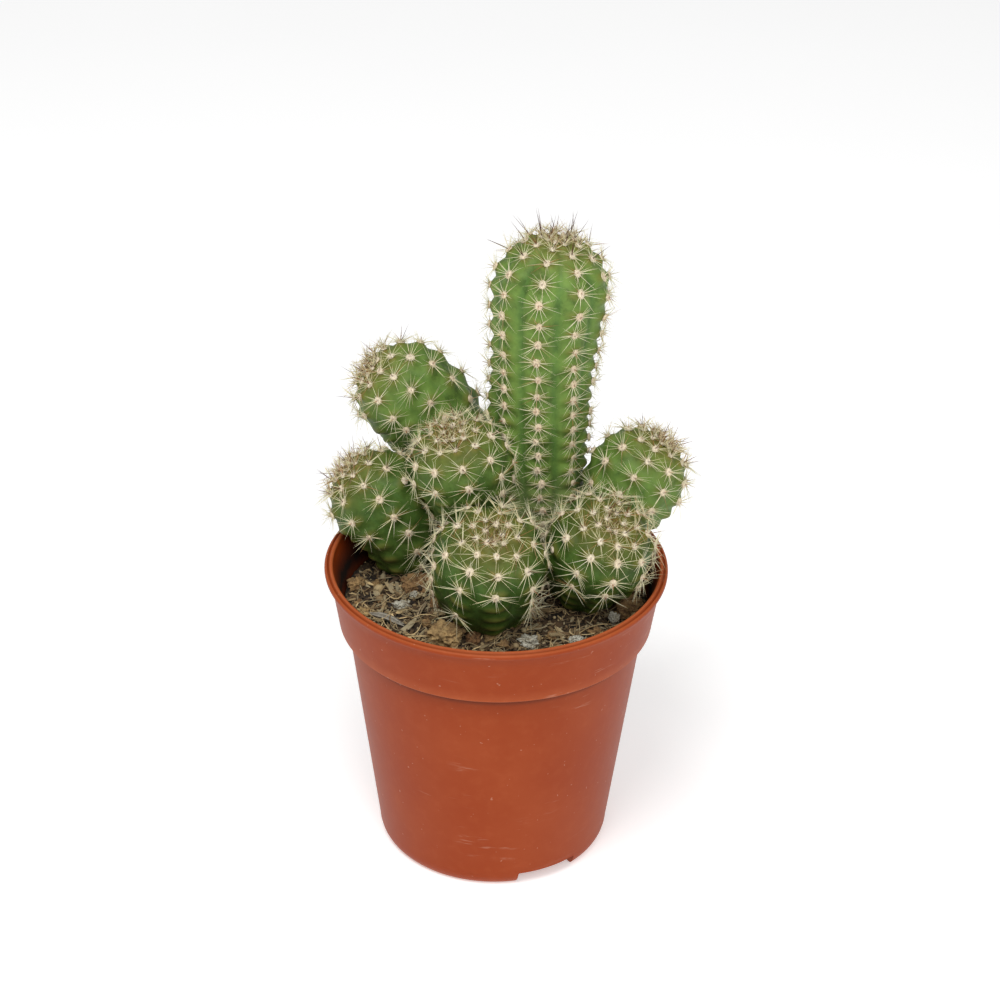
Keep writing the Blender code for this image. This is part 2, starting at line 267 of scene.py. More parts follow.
class SpineSettings(bpy.types.PropertyGroup):
    cushion: length_property("Cushion", "Radius of a felt cushion", 0.62 * MM)
    radials: count_property("Side spines", "Spines round a cushion", 17)
    thickness: length_property("Thickness", "Radius of a spine at its foot", 0.052 * MM)
    hairs: count_property("Felt hairs", "Short hairs round a cushion", 28)
    hair_thickness: length_property("Hair thickness", "Radius of a felt hair", 0.031 * MM)
    tuft: count_property("Tuft", "Young spines right at the tip of a stem", 44)
    straw: colour_property("Straw", "Colour of the side spines", (0.84, 0.78, 0.46))
    cream: colour_property("Cream", "Colour of fresh felt", (0.94, 0.88, 0.69))
    rose: colour_property("Rose", "Colour of older felt", (0.88, 0.70, 0.50))
    brown: colour_property("Brown", "Colour of the middle spines", (0.105, 0.035, 0.016))
    rust: colour_property("Rust", "Colour of the young tufts at the tip", (0.44, 0.19, 0.06))


class StageSettings(bpy.types.PropertyGroup):
    camera_back: length_property("Camera distance", "How far in front of the pot", 348.03 * MM)
    camera_height: length_property("Camera height", "Height over the ground", 262.85 * MM)
    tilt: angle_property("Tilt", "How far the camera looks down", 0.5233)
    pan: angle_property("Pan", "How far the camera looks to the right", 0.0013)
    roll: angle_property("Roll", "How far the camera leans", 0.0147)
    lens: FloatProperty(name="Lens", description="Focal length in millimetres", default=91.58)
    floor_colour: colour_property("Floor", "Colour of the floor", (0.92, 0.92, 0.92))
    floor_glow: share_property("Floor glow", "Light that the floor gives off", 0.36)
    sky_strength: share_property("Sky", "Strength of the light all round", 0.36)


class CactusSettings(bpy.types.PropertyGroup):
    pot: PointerProperty(type=PotSettings)
    soil: PointerProperty(type=SoilSettings)
    stems: PointerProperty(type=StemSettings)
    spines: PointerProperty(type=SpineSettings)
    stage: PointerProperty(type=StageSettings)


# ---------------------------------------------------------------- shader sums


class Value:
    """One output of a shader node. A sum written with it adds the nodes that work it out."""

    def __init__(self, finish, socket):
        self.finish = finish
        self.socket = socket

    def work(self, operation, *terms, clamp=False):
        settings = {"operation": operation, "use_clamp": clamp}
        return self.finish.node("ShaderNodeMath", settings, dict(enumerate(terms)))

    def __add__(self, other):
        return self.work("ADD", self, other)

    def __radd__(self, other):
        return self.work("ADD", other, self)

    def __sub__(self, other):
        return self.work("SUBTRACT", self, other)

    def __rsub__(self, other):
        return self.work("SUBTRACT", other, self)

    def __mul__(self, other):
        return self.work("MULTIPLY", self, other)

    def __rmul__(self, other):
        return self.work("MULTIPLY", other, self)

    def capped(self):
        return self.work("ADD", self, 0.0, clamp=True)

    def between(self, low, high):
        """0 below low and 1 above high, with a smooth step between."""
        sockets = {0: self, 1: low, 2: high, 3: 0.0, 4: 1.0}
        return self.finish.node("ShaderNodeMapRange", {"interpolation_type": "SMOOTHSTEP"}, sockets)


class Finish:
    """A material with a Principled shader, and short ways to add the nodes that feed it."""

    def __init__(self, name):
        self.material = bpy.data.materials.new(name)
        self.material.use_nodes = True
        self.tree = self.material.node_tree
        self.shader = self.tree.nodes["Principled BSDF"]
        self.place = self.node("ShaderNodeTexCoord", {}, {}, "Object")

    def node(self, kind, settings, sockets, output=0):
        node = self.tree.nodes.new(kind)
        for name, value in settings.items():
            if name == "stops":
                self.set_stops(node.color_ramp, value)
            else:
                setattr(node, name, value)
        for key, value in sockets.items():
            if isinstance(value, Value):
                self.tree.links.new(value.socket, node.inputs[key])
            else:
                node.inputs[key].default_value = value
        return Value(self, node.outputs[output])

    @staticmethod
    def set_stops(ramp, stops):
        while len(ramp.elements) < len(stops):
            ramp.elements.new(1.0)
        for element, (position, colour) in zip(ramp.elements, stops):
            element.position = position
            element.color = (*colour, 1.0)

    def noise(self, size, detail=3.0, roughness=0.55, stretch=None, seed=0.0):
        """A cloudy pattern whose lumps are about size metres across, from 0 to 1."""
        place = self.place
        if stretch or seed:
            scale = stretch or (1.0, 1.0, 1.0)
            sockets = {"Vector": place, "Scale": scale, "Location": (seed, seed, 0.0)}
            place = self.node("ShaderNodeMapping", {}, sockets)
        sockets = {"Vector": place, "Scale": 0.6 / size, "Detail": detail, "Roughness": roughness}
        return self.node("ShaderNodeTexNoise", {}, sockets, "Fac")

    def cells(self, size):
        """The distance to the middle of the nearest cell, of cells about size metres across."""
        sockets = {"Vector": self.place, "Scale": 1.0 / size}
        return self.node("ShaderNodeTexVoronoi", {}, sockets, "Distance")

    def attribute(self, name):
        return self.node("ShaderNodeAttribute", {"attribute_name": name}, {}, "Fac")

    def mix(self, share, first, second):
        first, second = (c if isinstance(c, Value) else (*c, 1.0) for c in (first, second))
        return self.node("ShaderNodeMix", {"data_type": "RGBA"}, {0: share, 6: first, 7: second}, 2)

    def ramp(self, share, stops):
        return self.node("ShaderNodeValToRGB", {"stops": stops}, {0: share}, "Color")

    def relief(self, height, distance, strength=1.0):
        sockets = {"Height": height, "Distance": distance, "Strength": strength}
        bump = self.node("ShaderNodeBump", {}, sockets, "Normal")
        self.feed("Normal", bump)

    def feed(self, socket, value):
        if isinstance(value, Value):
            self.tree.links.new(value.socket, self.shader.inputs[socket])
        else:
            self.shader.inputs[socket].default_value = value


# ---------------------------------------------------------------- materials


def scaled(colour, share):
    return tuple(min(1.0, share * channel) for channel in colour)


def plastic_finish(settings):
    """Matt moulded plastic, rubbed at its edges and given a painted highlight on the lip and the
    collar edge, with fine scratches outside, grime and painted shade inside, and a painted shade
    line under the step and the lip.
    """
    finish = Finish("pot_plastic")
    cloud = finish.noise(9 * MM, 4.0)
    fine = finish.noise(1.1 * MM, 5.0, seed=0.3)
    colour = finish.mix(cloud.between(0.35, 0.75) * 0.12, settings.colour, settings.worn_and_highlight_colour)
    colour = finish.mix(fine.between(0.45, 0.75) * 0.06, colour, settings.worn_and_highlight_colour)
    # Rubbed edges and a painted highlight along the lip and the collar edge.
    edge = finish.attribute("worn_edge")
    colour = finish.mix(edge * (0.45 + 0.4 * fine), colour, settings.worn_and_highlight_colour)
    scratch = finish.noise(1.4 * MM, 5.0, 0.7, stretch=(1.0, 1.0, 0.16), seed=0.7)
    patch = finish.noise(8 * MM, 2.0, seed=1.9).between(0.50, 0.62)
    speck = finish.noise(0.45 * MM, 1.0, seed=2.6).between(0.74, 0.80)
    drag = finish.noise(0.8 * MM, 4.0, 0.7, stretch=(0.12, 0.12, 1.0), seed=3.1)
    rubbed = finish.noise(13 * MM, 2.0, seed=4.4).between(0.50, 0.62)
    scratched = scratch.between(0.68, 0.76) * patch * 0.46
    dragged = drag.between(0.58, 0.70) * rubbed * 0.32
    marks = (scratched + dragged + speck * 0.30).capped()
    colour = finish.mix(marks, colour, settings.scuff_colour)
    # Painted shade: a dark line under the step, in the lip's groove and under the lip.
    colour = finish.mix(finish.attribute("crease") * 0.92, colour, settings.crease_shade_colour)
    # Grime on the inner wall, with painted shade.
    grime = finish.attribute("grime") * (0.62 + 0.9 * finish.noise(1.8 * MM, 5.0, 0.65, seed=0.9))
    colour = finish.mix(grime.capped(), colour, settings.grime_and_shade_colour)
    finish.feed("Base Color", colour)
    finish.feed("Roughness", 0.40 + 0.12 * cloud + 0.25 * marks + 0.3 * grime.capped())
    finish.feed("Specular IOR Level", 0.15)
    draw_lines = finish.noise(0.9 * MM, 3.0, 0.6, stretch=(1.0, 1.0, 0.05), seed=0.2)
    finish.relief(0.6 * draw_lines + 0.5 * fine + 0.5 * marks, 0.05 * MM, 0.5)
    return finish.material


def litter_colours(finish, settings, tint):
    """From damp peat, which on the soil also stands for painted shade in the gaps, through brown
    and weathered grey to dry straw.
    """
    stops = (
        (0.0, settings.dark),
        (0.28, settings.brown),
        (0.50, tuple(0.5 * (a + b) for a, b in zip(settings.brown, settings.tan))),
        (0.68, settings.grey),
        (0.84, settings.tan),
        (1.0, scaled(settings.tan, 1.45)),
    )
    return finish.ramp(tint, stops)


def soil_finish(settings):
    finish = Finish("potting_mix")
    lumps = finish.noise(1.6 * MM, 6.0, 0.7)
    grains = finish.noise(0.35 * MM, 4.0, 0.7, seed=0.4)
    flecks = finish.noise(0.55 * MM, 2.0, seed=1.2, stretch=(1.0, 0.35, 1.0)).between(0.62, 0.72)
    # The tint follows the lumps and grains of the relief, so the hollows take the dark peat colour
    # as painted shade.
    tint = (0.62 * lumps + 0.45 * grains - 0.46).capped()
    colour = litter_colours(finish, settings, tint)
    colour = finish.mix(flecks * 0.6, colour, settings.tan)
    finish.feed("Base Color", colour)
    finish.feed("Roughness", 0.92)
    finish.relief(lumps + 0.8 * grains, 0.35 * MM)
    return finish.material


def litter_finish(settings):
    finish = Finish("litter")
    along = finish.attribute("along")
    grain = finish.noise(0.30 * MM, 4.0, 0.65)
    tint = (finish.attribute("tint") + 0.30 * (grain - 0.5) + 0.05 * along).capped()
    finish.feed("Base Color", litter_colours(finish, settings, tint))
    finish.feed("Roughness", 0.82)
    finish.relief(grain, 0.12 * MM)
    return finish.material


def bark_finish():
    finish = Finish("bark")
    layer = finish.noise(1.0 * MM, 5.0, 0.7, stretch=(1.0, 1.0, 3.5))
    crumb = finish.noise(0.4 * MM, 4.0, 0.7, seed=0.5)
    tint = finish.attribute("tint")
    dark = finish.mix(tint, (0.075, 0.033, 0.014), (0.16, 0.085, 0.03))
    light = finish.mix(tint, (0.25, 0.12, 0.045), (0.52, 0.36, 0.155))
    share = (0.7 * layer + 0.5 * crumb).between(0.42, 0.74)
    finish.feed("Base Color", finish.mix(share, dark, light))
    finish.feed("Roughness", 0.85)
    finish.relief(layer + 0.7 * crumb, 0.3 * MM)
    return finish.material


def perlite_finish():
    finish = Finish("perlite")
    pores = finish.cells(0.30 * MM).between(0.0, 0.6)
    stain = finish.noise(0.9 * MM, 4.0).between(0.45, 0.75)
    colour = finish.mix(pores, (0.22, 0.20, 0.14), (0.54, 0.52, 0.43))
    finish.feed("Base Color", finish.mix(stain * 0.65, colour, (0.26, 0.20, 0.11)))
    finish.feed("Roughness", 0.75)
    finish.relief(pores, 0.12 * MM)
    return finish.material


def wood_finish():
    finish = Finish("dry_wood")
    strand = finish.attribute("strand")
    grain = finish.noise(0.35 * MM, 4.0, 0.7)
    tint = finish.attribute("tint")
    dark = finish.mix(tint, (0.060, 0.055, 0.045), (0.18, 0.115, 0.05))
    light = finish.mix(tint, (0.33, 0.31, 0.26), (0.50, 0.38, 0.21))
    lines = (0.65 * strand + 0.7 * grain).between(0.35, 0.85)
    finish.feed("Base Color", finish.mix(lines, dark, light))
    finish.feed("Roughness", 0.78)
    finish.relief(lines, 0.12 * MM)
    return finish.material


def skin_finish(settings):
    """Waxy green skin: cooler in the grooves with a painted shade line along each, olive on the
    bumps and the tip, and corky at the foot, where the cork colour is lightened as painted light.
    pale sets each stem's green, partly its own tone and partly painted light and shade.
    """
    finish = Finish("cactus_skin")
    groove = finish.attribute("groove")
    bump = finish.attribute("bump")
    tip = finish.attribute("young")
    old = finish.attribute("old")
    pale = finish.attribute("pale")
    blotch = finish.noise(1.9 * MM, 5.0, 0.70)
    fine = finish.noise(0.55 * MM, 4.0, 0.65, seed=0.6)
    # pale mixes the deep and light greens per stem: partly tone, partly painted light and shade.
    green = finish.mix(pale, settings.deep_green, settings.light_green)
    green = finish.mix(groove.between(0.45, 0.95) * 0.55, green, settings.groove_green)
    light = scaled(settings.light_green, 1.5)
    green = finish.mix(blotch.between(0.47, 0.68) * (0.14 + 0.30 * pale), green, light)
    shade = scaled(settings.deep_green, 0.62)
    green = finish.mix(blotch.between(0.50, 0.32) * 0.50, green, shade)
    flank = (bump.between(0.20, 0.90) * 0.50 + tip * 0.95) * (0.45 + 1.1 * fine)
    green = finish.mix(flank.capped(), green, settings.olive)
    # Cork at the foot, lightened as painted light.
    green = finish.mix((old * (0.35 + blotch)).capped(), green, settings.cork_and_painted_light)
    # A painted shade line along the bottom of each groove.
    line = groove.between(0.91, 1.0)
    green = finish.mix(line * 0.85, green, scaled(settings.deep_green, 0.45))
    speckle = finish.cells(0.26 * MM).between(0.28, 0.05)
    green = finish.mix(speckle * (0.04 + 0.08 * pale), green, light)
    finish.feed("Base Color", green)
    finish.feed("Roughness", 0.42 + 0.2 * fine + 0.15 * old)
    finish.feed("Specular IOR Level", 0.20)
    finish.relief(0.8 * fine + 0.5 * blotch + 0.15 * speckle, 0.10 * MM, 0.7)
    return finish.material


def felt_finish(settings):
    finish = Finish("felt")
    fuzz = finish.noise(0.16 * MM, 3.0, 0.7)
    colour = finish.mix(finish.attribute("tint"), settings.cream, settings.rose)
    centre = finish.attribute("centre").between(0.86, 1.0)
    colour = finish.mix(centre * (0.15 + 0.6 * fuzz), colour, settings.brown)
    dark = scaled(settings.rose, 0.45)
    finish.feed("Base Color", finish.mix(fuzz.between(0.62, 0.35) * 0.45, colour, dark))
    finish.feed("Roughness", 0.95)
    finish.relief(fuzz, 0.15 * MM)
    return finish.material


def spine_finish(settings):
    """tint goes from cream, 0, through straw to rust and dark brown, 1."""
    finish = Finish("spine")
    along = finish.attribute("along")
    stops = (
        (0.0, settings.cream),
        (0.30, settings.straw),
        (0.62, settings.rust),
        (0.85, settings.brown),
        (1.0, scaled(settings.brown, 0.45)),
    )
    tint = (finish.attribute("tint") + 0.10 * along - 0.04).capped()
    finish.feed("Base Color", finish.ramp(tint, stops))
    finish.feed("Roughness", 0.48)
    return finish.material


def floor_finish(settings):
    finish = Finish("studio_floor")
    mottle = finish.noise(60 * MM, 2.0)
    shade = scaled(settings.floor_colour, 0.97)
    finish.feed("Base Color", finish.mix(mottle, settings.floor_colour, shade))
    finish.feed("Roughness", 0.85)
    finish.feed("Specular IOR Level", 0.1)
    finish.feed("Emission Color", (1.0, 1.0, 1.0, 1.0))
    finish.feed("Emission Strength", settings.floor_glow)
    return finish.material


# ---------------------------------------------------------------- mesh helpers


def in_object_mode():
    if bpy.context.mode != "OBJECT":
        bpy.ops.object.mode_set(mode="OBJECT")


def clear_selection():
    in_object_mode()
    bpy.ops.object.select_all(action="DESELECT")


def edit_all(obj):
    clear_selection()
    bpy.context.view_layer.objects.active = obj
    obj.select_set(True)
    bpy.ops.object.mode_set(mode="EDIT")
    bpy.ops.mesh.select_all(action="SELECT")


def place_in_mesh(obj):
    """Moves the object's place, turn and size into its mesh."""
    clear_selection()
    obj.select_set(True)
    bpy.context.view_layer.objects.active = obj
    bpy.ops.object.transform_apply(location=True, rotation=True, scale=True)


def points_of(mesh):
    points = np.empty(len(mesh.vertices) * 3)
    mesh.vertices.foreach_get("co", points)
    return points.reshape(-1, 3)


def set_points(mesh, points):
    mesh.vertices.foreach_set("co", np.asarray(points, np.float32).ravel())
    mesh.update()


def set_values(mesh, name, values):
    """Keeps one number for each point, for the material to read."""
    layer = mesh.attributes.get(name) or mesh.attributes.new(name, "FLOAT", "POINT")
    layer.data.foreach_set("value", np.asarray(values, np.float32))


def finish_piece(obj, material, slot, *nodes, angle=None):
    """Gives a piece its material and shading and seats it in the frame."""
    obj.data.materials.clear()
    obj.data.materials.append(material)
    clear_selection()
    bpy.context.view_layer.objects.active = obj
    obj.select_set(True)
    if angle is None:
        bpy.ops.object.shade_smooth()
    else:
        bpy.ops.object.shade_smooth_by_angle(angle=math.radians(angle))
    clear_selection()
    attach(obj, BODY)
    if nodes:
        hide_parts(*nodes)
    return obj


def lathe(name, outline, steps):
    """Draws a ring out along (radius, height) points, and closes it at the axis at both ends."""
    clear_selection()
    first = outline[0]
    start = (0.0, 0.0, first[1])
    bpy.ops.mesh.primitive_circle_add(vertices=steps, radius=first[0], location=start)
    obj = bpy.context.object
    obj.name = obj.data.name = name
    place_in_mesh(obj)
    edit_all(obj)
    bpy.ops.mesh.extrude_edges_move()
    bpy.ops.mesh.merge(type="CENTER")
    bpy.ops.mesh.select_all(action="DESELECT")
    in_object_mode()
    for vert in obj.data.vertices:
        vert.select = math.hypot(vert.co.x, vert.co.y) > 0.5 * first[0]
    bpy.ops.object.mode_set(mode="EDIT")
    bpy.ops.mesh.select_mode(type="VERT")
    radius, height = first
    for next_radius, next_height in outline[1:]:
        lift = {"value": (0.0, 0.0, next_height - height)}
        bpy.ops.mesh.extrude_edges_move(TRANSFORM_OT_translate=lift)
        share = next_radius / radius
        bpy.ops.transform.resize(value=(share, share, 1.0), center_override=(0.0, 0.0, next_height))
        radius, height = next_radius, next_height
    bpy.ops.mesh.extrude_edges_move()
    bpy.ops.mesh.merge(type="CENTER")
    bpy.ops.mesh.select_all(action="SELECT")
    bpy.ops.mesh.remove_doubles(threshold=0.001 * MM)
    bpy.ops.mesh.normals_make_consistent(inside=False)
    in_object_mode()
    return obj


def subtract(obj, cutter):
    boolean = obj.modifiers.new("Cut", "BOOLEAN")
    boolean.operation = "DIFFERENCE"
    boolean.solver = "EXACT"
    boolean.object = cutter
    clear_selection()
    bpy.context.view_layer.objects.active = obj
    obj.select_set(True)
    bpy.ops.object.modifier_apply(modifier=boolean.name)
    bpy.data.objects.remove(cutter, do_unlink=True)


def arc(centre, radius, start, end, steps):
    """Points on an arc, from one angle to the other, in degrees."""
    angles = np.radians(np.linspace(start, end, steps))
    return [(centre[0] + radius * math.cos(a), centre[1] + radius * math.sin(a)) for a in angles]


def near(values, middle, width):
    """1 at the middle, falling smoothly to 0 a few widths away."""
    return np.exp(-(((values - middle) / width) ** 2))


def rough(points, size, seed):
    """A cloudy value from about -1 to 1 at each point."""
    shift = Vector((seed * 7.31, seed * 3.17, seed * 5.53))
    return np.array([noise.fractal(Vector(p) / size + shift, 0.8, 2.1, 4) for p in points])


def template(obj):
    """The points and faces of a shape that will be copied many times; its object is removed."""
    bpy.context.view_layer.update()
    mesh = obj.data
    points = points_of(mesh)
    faces = [tuple(face.vertices) for face in mesh.polygons]
    bpy.data.objects.remove(obj, do_unlink=True)
    bpy.data.meshes.remove(mesh)
    return points, faces


def copies(name, points, faces):
    """One mesh of many copies: points is an array of copies x points x 3."""
    count, size = points.shape[:2]
    corners = np.concatenate([np.array(face, np.int64) for face in faces])
    totals = np.array([len(face) for face in faces], np.int64)
    all_corners = (corners[None, :] + (np.arange(count) * size)[:, None]).ravel()
    all_totals = np.tile(totals, count)
    starts = np.concatenate([[0], np.cumsum(all_totals)[:-1]])
    mesh = bpy.data.meshes.new(name)
    mesh.vertices.add(count * size)
    mesh.loops.add(len(all_corners))
    mesh.polygons.add(len(all_totals))
    mesh.vertices.foreach_set("co", points.astype(np.float32).ravel())
    mesh.loops.foreach_set("vertex_index", all_corners.astype(np.int32))
    mesh.polygons.foreach_set("loop_start", starts.astype(np.int32))
    mesh.update(calc_edges=True)
    mesh.validate()
    obj = bpy.data.objects.new(name, mesh)
    bpy.context.scene.collection.objects.link(obj)
    return obj


def in_the_clear(points, own, forms, cactus, room=STEM_ROOM):
    """True where a point is outside the other stems, the pot's wall and the soil."""
    pot = cactus.pot
    free = np.ones(len(points), bool)
    share = np.linspace(0.0, 1.0, 48)
    for form in forms:
        if form is own:
            continue
        gaps = np.linalg.norm(points[:, None, :] - form.axis(share)[None], axis=2)
        free &= (gaps - form.radius(share)[None]).min(axis=1) > room
    far, height = np.hypot(points[:, 0], points[:, 1]), points[:, 2]
    wall = (far > pot.collar_bottom - pot.wall - WALL_ROOM) & (far < pot.rim_radius + WALL_ROOM)
    free &= ~(wall & (height < pot.height + WALL_ROOM))
    return free & (height > soil_height(far, pot, cactus.soil) + SOIL_ROOM)


def open_cushions(form, forms, cactus):
    """The cushions of a stem that press against nothing, and how open the space round each is."""
    values = form.cushions()
    here, outward = values[:2]
    free = in_the_clear(here, form, forms, cactus, CUSHION_ROOM)
    ground = soil_height(np.hypot(here[:, 0], here[:, 1]), cactus.pot, cactus.soil)
    free &= here[:, 2] > ground + CUSHION_HEIGHT
    free &= outward[:, 2] > LOWEST_FACING
    openness = np.zeros(len(here))
    for reach in OPEN_REACHES:
        openness += in_the_clear(here + outward * reach, form, forms, cactus) / len(OPEN_REACHES)
    return [value[free] for value in (*values, openness)]


def unit(vectors):
    return vectors / np.maximum(np.linalg.norm(vectors, axis=-1, keepdims=True), 1e-12)


# ---------------------------------------------------------------- stem form


class StemForm:
    """The curve, thickness, ribs and bumps of one stem, read at any place on its skin."""

    FLAT_FOOT = 0.35
    ROUND_TIP = 0.94
    FOOT_END = 0.08
    TIP_START = 0.75
    SIDE_STEM_RIBBING = 0.55
    TIP_PITCH = 1.25 * MM
    CROWDED = 7.5 * MM
    FIRST_CUSHION = 0.9 * MM
    LAST_CUSHION = 0.93

    def __init__(self, row, settings):
        self.row = row
        self.settings = settings
        self.base, self.bend, self.tip = (np.array(p) * MM for p in (row.base, row.bend, row.tip))
        self.radii = np.array(row.radii) * MM
        self.ribbing = 1.0 if row.name == "main_stem" else self.SIDE_STEM_RIBBING
        self.rng = np.random.default_rng(row.seed)
        self.offsets = np.array([self.offset(rib) for rib in range(row.ribs)])
        self.measure()

    @staticmethod
    def offset(rib):
        """How far the cushions of a rib are shifted, so that they alternate with the next rib's."""
        return (0.5 * (rib % 2) + 0.13 * math.sin(5.0 * rib)) % 1.0

    def radius(self, share):
        """A smooth curve through the radii."""
        place = np.clip(share, 0.0, 1.0) * (len(self.radii) - 1)
        index = np.minimum(place.astype(int), len(self.radii) - 2)
        part = place - index
        last = len(self.radii) - 1
        nearby = (np.clip(index + step, 0, last) for step in (-1, 0, 1, 2))
        before, low, high, after = (self.radii[place] for place in nearby)
        return 0.5 * (
            2.0 * low
            + (high - before) * part
            + (2.0 * before - 5.0 * low + 4.0 * high - after) * part**2
            + (3.0 * low - before - 3.0 * high + after) * part**3
        )

    def axis(self, share):
        share = share[:, None]
        rest = 1 - share
        return self.base * rest**2 + self.bend * 2 * share * rest + self.tip * share**2

    def frame(self, share):
        way = share[:, None]
        upward = unit((self.bend - self.base) * (1 - way) + (self.tip - self.bend) * way)
        right = unit(np.cross(np.array([0.0, 1.0, 0.0]), upward))
        return upward, right, np.cross(upward, right)

    def station(self, place):
        """Splits 0 to 1 over the flat foot, the shaft and the round tip."""
        foot, top = self.FOOT_END, self.TIP_START
        share = np.clip((place - foot) / (top - foot), 0.0, 1.0)
        in_tip = np.maximum(0.0, (place - top) / (1.0 - top))
        quarter = np.where(place < foot, 1.0 - place / foot, in_tip) * math.pi / 2.0
        past = np.where(place < foot, -self.FLAT_FOOT, self.ROUND_TIP) * np.sin(quarter)
        return share, quarter, past

    def measure(self):
        """Lays out the way from the tip along a crest, and counts the cushions on it."""
        place = np.linspace(0.0, 1.0, 3001)
        share, quarter, past = self.station(place)
        upward, right, _ = self.frame(share)
        full = self.radius(share)
        middle = self.axis(share) + upward * (full * past)[:, None]
        reach = right * (full * np.cos(quarter))[:, None]
        ways = []
        for crest in (middle + reach, middle - reach):
            steps = np.linalg.norm(np.diff(crest, axis=0), axis=1)
            ways.append(np.concatenate([[0.0], np.cumsum(steps)]))
        way = 0.5 * (ways[0] + ways[1])
        self.length = way[-1]
        self.places = place[::-1]
        self.ways = (self.length - way)[::-1]
        near, mid, low = (value * MM for value in self.row.pitch)
        grown = np.clip(self.ways / self.CROWDED, 0.0, 1.0)
        pitch = self.TIP_PITCH + (near - self.TIP_PITCH) * grown**0.8
        later = np.clip((self.ways / self.length - 0.25) / 0.3, 0.0, 1.0)
        lower = np.clip((self.ways / self.length - 0.6) / 0.4, 0.0, 1.0)
        pitch = pitch + (mid - near) * later + (low - mid) * lower
        gaps = np.diff(self.ways) / (0.5 * (pitch[1:] + pitch[:-1]))
        self.counts = np.concatenate([[0.0], np.cumsum(gaps)])

    def count_at(self, way):
        return np.interp(way, self.ways, self.counts)

    def way_at(self, count):
        return np.interp(count, self.counts, self.ways)

    def ribs_at(self, longitude, way):
        """Crest, 1 on a crest and 0 in a groove, and bump, 1 under a cushion and 0 between two."""
        row = self.row
        crest = np.abs(np.cos(row.ribs * longitude / 2.0))
        nearest = np.round(longitude * row.ribs / math.tau).astype(int) % row.ribs
        phase = self.count_at(way) - self.offsets[nearest]
        bump = (0.5 + 0.5 * np.cos(math.tau * phase)) * crest**1.6
        return crest, bump

    def skin(self, longitude, way):
        """The point of the skin at a longitude and a way from the tip."""
        place = np.interp(way, self.ways, self.places)
        share, quarter, past = self.station(place)
        upward, right, back = self.frame(share)
        full = self.radius(share)
        angle = longitude + math.radians(self.row.turn) + math.radians(self.row.twist) * share
        around = right * np.cos(angle)[:, None] + back * np.sin(angle)[:, None]
        crest, bump = self.ribs_at(longitude, way)
        tool = self.settings
        grown = np.clip(way / (3.0 * MM), 0.0, 1.0)
        swell = tool.rib_swell * (0.5 - 0.5 * np.cos(self.row.ribs * longitude))
        line = tool.groove * (1.0 - crest) ** 3
        flat = full * np.cos(quarter) * (1.0 - self.ribbing * (swell + line))
        centre = self.axis(share) + upward * (full * past)[:, None]
        rise = np.sin(quarter) * np.sign(past)
        outward = unit(around * np.cos(quarter)[:, None] + upward * rise[:, None])
        lift = (tool.tubercle * bump - tool.hollow * (1.0 - bump) * crest**1.6) * grown
        return centre + around * flat[:, None] + outward * lift[:, None]

    def cushions(self):
        """Where the cushions are, the skin's outward, tipward and side directions, and the way."""
        longitudes, ways = [], []
        for rib in range(self.row.ribs):
            count = math.floor(self.counts[-1] - self.offsets[rib])
            for index in range(count + 1):
                way = float(self.way_at(index + self.offsets[rib]))
                if way < self.FIRST_CUSHION or way > self.LAST_CUSHION * self.length:
                    continue
                longitudes.append(math.tau * rib / self.row.ribs + self.rng.normal(0.0, 0.025))
                ways.append(way + self.rng.normal(0.0, 0.10) * MM)
        longitude, way = np.array(longitudes), np.array(ways)
        step = 0.12 * MM
        radii = np.interp(way, self.ways, self.radius(self.station(self.places)[0]))
        turn = 4 * step / np.maximum(radii, MM)
        here = self.skin(longitude, way)
        tipward = unit(self.skin(longitude, way - step) - self.skin(longitude, way + step))
        side = unit(self.skin(longitude + turn, way) - self.skin(longitude - turn, way))
        outward = unit(np.cross(side, tipward))
        middle = self.axis(self.station(np.interp(way, self.ways, self.places))[0])
        outward *= np.sign(np.sum(outward * (here - middle), axis=1))[:, None]
        side = unit(np.cross(tipward, outward))
        tipward = np.cross(outward, side)
        return here, outward, tipward, side, way


# ---------------------------------------------------------------- operators


